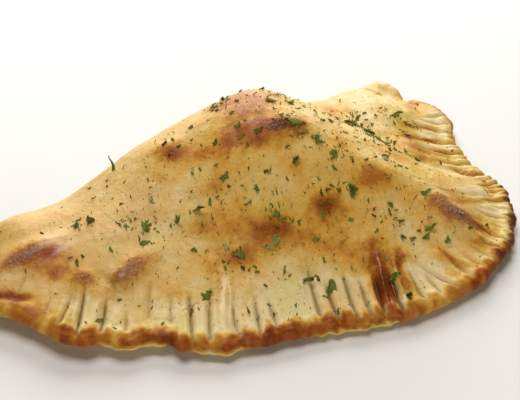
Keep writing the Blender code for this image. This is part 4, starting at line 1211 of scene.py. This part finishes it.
# Where small bits lie in heaps: centre x and y, reach and how many
HEAPS = (
    (67, 34, 3.4, 8), (66, 28, 3.2, 9), (64, 22, 3.6, 14), (63, 16, 3.8, 12), (63, 11, 4.2, 12),
    (65, 6, 4.2, 9), (67, 1, 4.5, 7), (58, 25, 4.5, 10), (83, 26, 3.5, 12), (80, 14, 3, 7), (90, 20, 3, 8),
    (-45, 20, 3, 14), (-41, 14, 3, 12), (-18, -14, 4, 12), (0, -10, 3.5, 14), (33, -4, 4, 14),
    (21, 14, 4, 12), (26, 4, 4, 9), (-60, 30, 4, 8), (40, -30, 5, 8), (10, 46, 5, 12), (30, 33, 5, 12),
)
# A few more, with their tone from dark to pale: x, y, length, width, turn in degrees and tone
TONED = (
    (-8, -18, 5.4, 0.7, -45, 0.95), (-21, -9.5, 3.4, 1.8, -85, 0.92), (5, -39.5, 4.4, 2.6, 57, 0.66),
    (-61, 30, 2.6, 2, 20, 0.62), (28, -18, 3, 2, 40, 0.64), (-30, 10, 2.8, 1.4, 70, 0.66),
    (47, -40, 3.6, 2, 10, 0.66), (8, -24, 2.4, 1.6, -30, 0.68), (26, -48, 3.2, 2.2, 20, 0.62),
)
# A torn flake's outline: how many lobes, how deep they are, its finer notches, and ragged steps in and out
LOBES = (3, 4, 5, 6)
LOBE_SIZE = 0.22
NOTCHES = 9
NOTCH_SIZE = 0.14
TEAR = (-0.16, 0.10)
TAPER = (0.1, 0.6)
# Where the lobes and notches start, round the flake
PHASES = (0, 7)
# How much it twists, curls and crinkles
TWIST = (-0.3, 0.3)
CURL_ACROSS = (0, 0.55)
CURL_ALONG = (-0.05, 0.14)
CRINKLE = (-0.10, 0.10)
# Most flakes lie flat, some lift one end by a share of their length, counted up to a limit
LIFTS = (0, 0, 0, 0.3, 0.9)
LIFTED_LENGTH = 3
LEAST_LIFT = 0.02
# One leaf stands on end: x, y, height and width, and how far its tip leans
SPIKE = (-35, 52, 8.5, 1.5)
SPIKE_LEAN = 1.0
SPIKE_BEND = 0.5
SPIKE_CURVE = 5
SPIKE_SINK = 0.5
# Its sides, the radius of its tip, how flat it is and its tone
SPIKE_SIDES = 8
SPIKE_TIP = 0.08
SPIKE_FLATNESS = 0.5
SPIKE_TONE = 0.5
# A ray from well above the crust straight down finds its skin
ABOVE = 100
DOWN = Vector((0, 0, -1))


def random_place(draw, plan):
    """A seeded place in the box round the outline."""
    return np.array([draw.uniform(-1, 1), draw.uniform(-1, 1)]) * plan.half_size


def herb_chance(place, least):
    """How likely a bit of herb is to lie at a place."""
    return least + sum(
        density * math.exp(-((place[0] - x) ** 2 + (place[1] - y) ** 2) / reach ** 2)
        for x, y, reach, density in SCATTERS
    )


def well_inside(place, plan, margins):
    """Whether a place lies on the skin and clear of the rim and the fold."""
    from_rim, _, from_fold = (distance[0] for distance in plan.measure(place[None]))
    return from_rim > margins[0] and from_fold > margins[1] and plan.contains(place)


def listed_flakes(table):
    """The flakes of a table, with their places as arrays."""
    return [(np.array(flake[:2], float), *flake[2:]) for flake in table]


def flake_places(plan, count):
    """The flakes that stand out, then smaller ones by a seeded draw, none touching another."""
    draw = random.Random(SEED)
    flakes = listed_flakes(FLAKES)
    while len(flakes) < count:
        place = random_place(draw, plan)
        length = draw.uniform(*FLAKE_LENGTHS)
        width = length * draw.uniform(*FLAKE_WIDTHS)
        turn = draw.uniform(-90, 90)
        likely = draw.random() < herb_chance(place, FLAKE_SCATTER)
        apart = all(np.linalg.norm(place - f[0]) > (length + f[1]) / 2 + FLAKE_GAP for f in flakes)
        if likely and apart and well_inside(place, plan, FLAKE_MARGINS):
            flakes.append((place, length, width, turn))
    return flakes


def bit_places(draw, plan, count, lengths):
    """Bits of leaf in the heaps first, then strewn."""
    heaped = [(x, y, reach * HEAP_SPREAD) for x, y, reach, heap in HEAPS for _ in range(heap)]
    bits = []
    while len(bits) < count:
        if len(bits) < len(heaped):
            length = draw.uniform(*lengths)
            x, y, spread = heaped[len(bits)]
            place = np.array([draw.gauss(x, spread), draw.gauss(y, spread)])
        else:
            place = random_place(draw, plan)
            likely = draw.random() < herb_chance(place, BIT_SCATTER)
            if not likely or not well_inside(place, plan, BIT_MARGINS):
                continue
            length = draw.uniform(*lengths)
        bits.append((place, length, length * draw.uniform(*BIT_WIDTHS), draw.uniform(-90, 90)))
    return bits


def skin_tree(crust):
    """The crust's faces, ready for rays."""
    return BVHTree.FromObject(crust, bpy.context.evaluated_depsgraph_get())


def skin_below(tree, x, y):
    """Place and normal of the skin under a point, or None where there is none."""
    return tree.ray_cast(Vector((x, y, ABOVE)) * MM, DOWN)[:2]


def leaf_grid(columns, rows):
    """Places and faces of a flat bit of leaf from -1 to 1, as a primitive grid gives them."""
    deselect_all()
    bpy.ops.mesh.primitive_grid_add(x_subdivisions=columns, y_subdivisions=rows, size=2)
    grid = bpy.context.object
    places = vertex_places(grid.data)[:, :2]
    faces = [tuple(polygon.vertices) for polygon in grid.data.polygons]
    mesh = grid.data
    bpy.data.objects.remove(grid)
    bpy.data.meshes.remove(mesh)
    return places, faces


def crumple(places, draw, length, width, turn, lift):
    """A torn, curled flake: its places round its middle in millimetres, and its height over the crust."""
    x, y = places.T
    radius = np.maximum(np.abs(x), np.abs(y))
    angle = np.arctan2(y, x)
    lobes = draw.choice(LOBES)
    torn = 1 + LOBE_SIZE * np.sin(lobes * angle + draw.uniform(*PHASES))
    torn += NOTCH_SIZE * np.sin(NOTCHES * angle + draw.uniform(*PHASES))
    torn += np.array([draw.uniform(*TEAR) for _ in x])
    torn = 1 + (torn - 1) * radius ** 2
    taper = 1 - draw.uniform(*TAPER) * (x + 1) / 2
    u = x * np.sqrt(1 - y ** 2 / 2) * length / 2 * torn
    v = y * np.sqrt(1 - x ** 2 / 2) * width / 2 * torn * taper + draw.uniform(*TWIST) * width * x ** 2
    curl = draw.uniform(*CURL_ACROSS) * width * y ** 2 + draw.uniform(*CURL_ALONG) * length * x ** 2
    twist = draw.uniform(*TWIST) * width * x * y
    crinkle = np.array([draw.uniform(*CRINKLE) for _ in x])
    height = np.maximum(curl + twist + crinkle + lift * (1 + x) / 2, LEAST_LIFT)
    cos, sin = math.cos(math.radians(turn)), math.sin(math.radians(turn))
    return np.column_stack([u * cos - v * sin, u * sin + v * cos]), height


def lay_leaves(name, crust, flakes, thickness, kind):
    """One mesh of many bits of leaf that follow the crust under them."""
    tree = skin_tree(crust)
    columns, rows, seed, usual_tone, variety = kind
    draw = random.Random(seed)
    grid, grid_faces = leaf_grid(columns, rows)
    points, faces, tone = [], [], []
    for place, length, width, turn, *own_tone in flakes:
        lift = draw.choice(LIFTS) * draw.random() * min(length, LIFTED_LENGTH)
        spread, heights = crumple(grid, draw, length, width, turn, lift)
        start = len(points)
        flake = []
        for aside, height in zip(spread, heights):
            hit, normal = skin_below(tree, *(place + aside))
            if hit is None:
                break
            flake.append(hit + normal * height * MM)
        if len(flake) < len(spread):
            continue
        points += flake
        faces += [tuple(start + k for k in face) for face in grid_faces]
        shade = own_tone[0] if own_tone else min(max(draw.gauss(usual_tone, variety), 0), 1)
        tone += [shade] * len(flake)
    mesh = bpy.data.meshes.new(name)
    mesh.from_pydata(points, [], faces)
    paint(mesh, "tone", tone)
    leaves = bpy.data.objects.new(name, mesh)
    bpy.context.scene.collection.objects.link(leaves)
    deselect_all()
    leaves.select_set(True)
    bpy.context.view_layer.objects.active = leaves
    solid = leaves.modifiers.new("thickness", "SOLIDIFY")
    solid.thickness = thickness
    solid.offset = 1
    bpy.ops.object.modifier_apply(modifier=solid.name)
    bpy.ops.object.mode_set(mode="EDIT")
    face_outwards()
    return leaves


def stand_leaf(crust):
    """The one leaf that stands on end, bent a little."""
    x, y, height, width = SPIKE
    foot, _ = skin_below(skin_tree(crust), x, y)
    deselect_all()
    bpy.ops.mesh.primitive_cone_add(
        vertices=SPIKE_SIDES, radius1=width / 2 * MM, radius2=SPIKE_TIP * MM, depth=height * MM)
    bpy.ops.object.mode_set(mode="EDIT")
    bpy.ops.mesh.subdivide(number_cuts=3)
    bpy.ops.object.mode_set(mode="OBJECT")
    spike = bpy.context.object
    spike.name = spike.data.name = "upright_leaf"
    points = vertex_places(spike.data) / MM
    rise = points[:, 2] / height + 0.5
    points[:, 0] += SPIKE_BEND * np.sin(SPIKE_CURVE * rise) - SPIKE_LEAN * rise
    points[:, 1] *= SPIKE_FLATNESS
    points[:, 2] += height / 2 - SPIKE_SINK
    move_vertices(spike.data, points * MM + np.array(foot))
    paint(spike.data, "tone", np.full(len(points), SPIKE_TONE))
    bpy.ops.object.shade_smooth()
    return spike


def declare(piece, material, *nodes):
    """Give a piece its material, its body and what it stands for."""
    piece.data.materials.clear()
    piece.data.materials.append(material)
    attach(piece, "root")
    if nodes:
        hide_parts(*nodes)


made = {}


class CALZONE_OT_crust(bpy.types.Operator):
    """Shape and colour the baked crust"""

    bl_idname = "calzone.crust"
    bl_label = "Baked crust"

    def execute(self, context):
        crust, plan = shape_crust(context.scene.calzone_shape)
        declare(crust, finish_crust(context.scene.calzone_colours), "calzone")
        made.update(crust=crust, plan=plan)
        return {"FINISHED"}


class CALZONE_OT_herbs(bpy.types.Operator):
    """Strew flakes and crumbs of dried herbs over the crust"""

    bl_idname = "calzone.herbs"
    bl_label = "Dried herbs"

    def execute(self, context):
        look = context.scene.calzone_herbs
        crust, plan = made["crust"], made["plan"]
        leaf = finish_herb(look)
        flakes = flake_places(plan, look.flakes) + listed_flakes(TONED)
        declare(lay_leaves("leaf_flakes", crust, flakes, look.thickness, FLAKE_MESH), leaf)
        declare(stand_leaf(crust), leaf)
        draw = random.Random(SEED + 1)
        for name, count, lengths, mesh in (
            ("leaf_bits", look.bits, BIT_LENGTHS, BIT_MESH),
            ("leaf_crumbs", look.crumbs, CRUMB_LENGTHS, CRUMB_MESH),
        ):
            bits = bit_places(draw, plan, count, lengths)
            declare(lay_leaves(name, crust, bits, look.thickness, mesh), leaf)
        return {"FINISHED"}


# Lights: place, width and colour of each
LIGHTS = (
    ("light behind", (0.46, 0.78, 0.48), 0.9, (1, 0.995, 0.98)),
    ("light overhead", (-0.05, 0.22, 0.97), 0.5, (1, 0.975, 0.94)),
    ("light in front", (-0.36, -0.88, 0.24), 0.7, (1, 0.87, 0.68)),
)
LIGHT_AIM = Vector((0, 0, 0.02))
SKY_COLOUR = (1, 0.72, 0.45, 1)
# Nearest distance that the camera shows, in metres
NEAREST_SHOWN = 0.01


def area_light(name, place, power, size, colour):
    """A soft square light at a place, turned to the calzone's middle."""
    deselect_all()
    bpy.ops.object.light_add(type="AREA", location=place)
    lamp = bpy.context.object
    lamp.name = name
    lamp.data.size = size
    lamp.data.energy = power
    lamp.data.color = colour
    lamp.rotation_euler = (LIGHT_AIM - Vector(place)).to_track_quat("-Z", "Y").to_euler()


class CALZONE_OT_stage(bpy.types.Operator):
    """Lay the pale floor, set the soft light and aim the camera"""

    bl_idname = "calzone.stage"
    bl_label = "Floor, light and camera"

    def execute(self, context):
        look = context.scene.calzone_stage
        deselect_all()
        bpy.ops.mesh.primitive_plane_add(size=look.floor_size)
        floor = bpy.context.object
        floor.name = "pale_floor"
        finish = Finish("pale floor")
        finish.set(Base_Color=(*look.floor, 1), Roughness=1.0, Specular_IOR_Level=0.0)
        floor.data.materials.append(finish.material)
        world = bpy.data.worlds.new("even light")
        context.scene.world = world
        world.use_nodes = True
        sky = world.node_tree.nodes["Background"]
        sky.inputs["Color"].default_value = SKY_COLOUR
        sky.inputs["Strength"].default_value = look.sky
        for light, power in zip(LIGHTS, (look.key_power, look.top_power, look.fill_power)):
            name, place, size, colour = light
            area_light(name, place, power, size, colour)
        back = Vector((
            math.sin(look.azimuth) * math.cos(look.elevation),
            -math.cos(look.azimuth) * math.cos(look.elevation),
            math.sin(look.elevation),
        ))
        deselect_all()
        bpy.ops.object.camera_add(location=Vector(look.target) + back * look.distance)
        camera = bpy.context.object
        camera.data.lens = camera.data.sensor_width / 2 / math.tan(look.view_angle / 2)
        camera.data.clip_start = NEAREST_SHOWN
        camera.rotation_euler = (-back).to_track_quat("-Z", "Y").to_euler()
        context.scene.camera = camera
        context.scene.view_settings.view_transform = "Standard"
        return {"FINISHED"}


class CALZONE_PT_sidebar(bpy.types.Panel):
    """The calzone's pieces, in the order in which they are made"""

    bl_idname = "CALZONE_PT_sidebar"
    bl_label = "Calzone"
    bl_space_type = "VIEW_3D"
    bl_region_type = "UI"
    bl_category = "Calzone"

    def draw(self, context):
        for operator in OPERATORS:
            self.layout.operator(operator.bl_idname)


GROUPS = {
    "calzone_shape": CrustShape,
    "calzone_colours": CrustColours,
    "calzone_herbs": HerbLook,
    "calzone_stage": StageLook,
}
OPERATORS = (CALZONE_OT_crust, CALZONE_OT_herbs, CALZONE_OT_stage)


def register():
    for group in (*GROUPS.values(), *OPERATORS, CALZONE_PT_sidebar):
        bpy.utils.register_class(group)
    for name, group in GROUPS.items():
        setattr(bpy.types.Scene, name, PointerProperty(type=group))


def unregister():
    for name in GROUPS:
        delattr(bpy.types.Scene, name)
    for group in (CALZONE_PT_sidebar, *reversed(OPERATORS), *reversed(list(GROUPS.values()))):
        bpy.utils.unregister_class(group)


def main():
    register()
    bpy.ops.calzone.crust()
    bpy.ops.calzone.herbs()
    bpy.ops.calzone.stage()


if __name__ == "__main__":
    main()
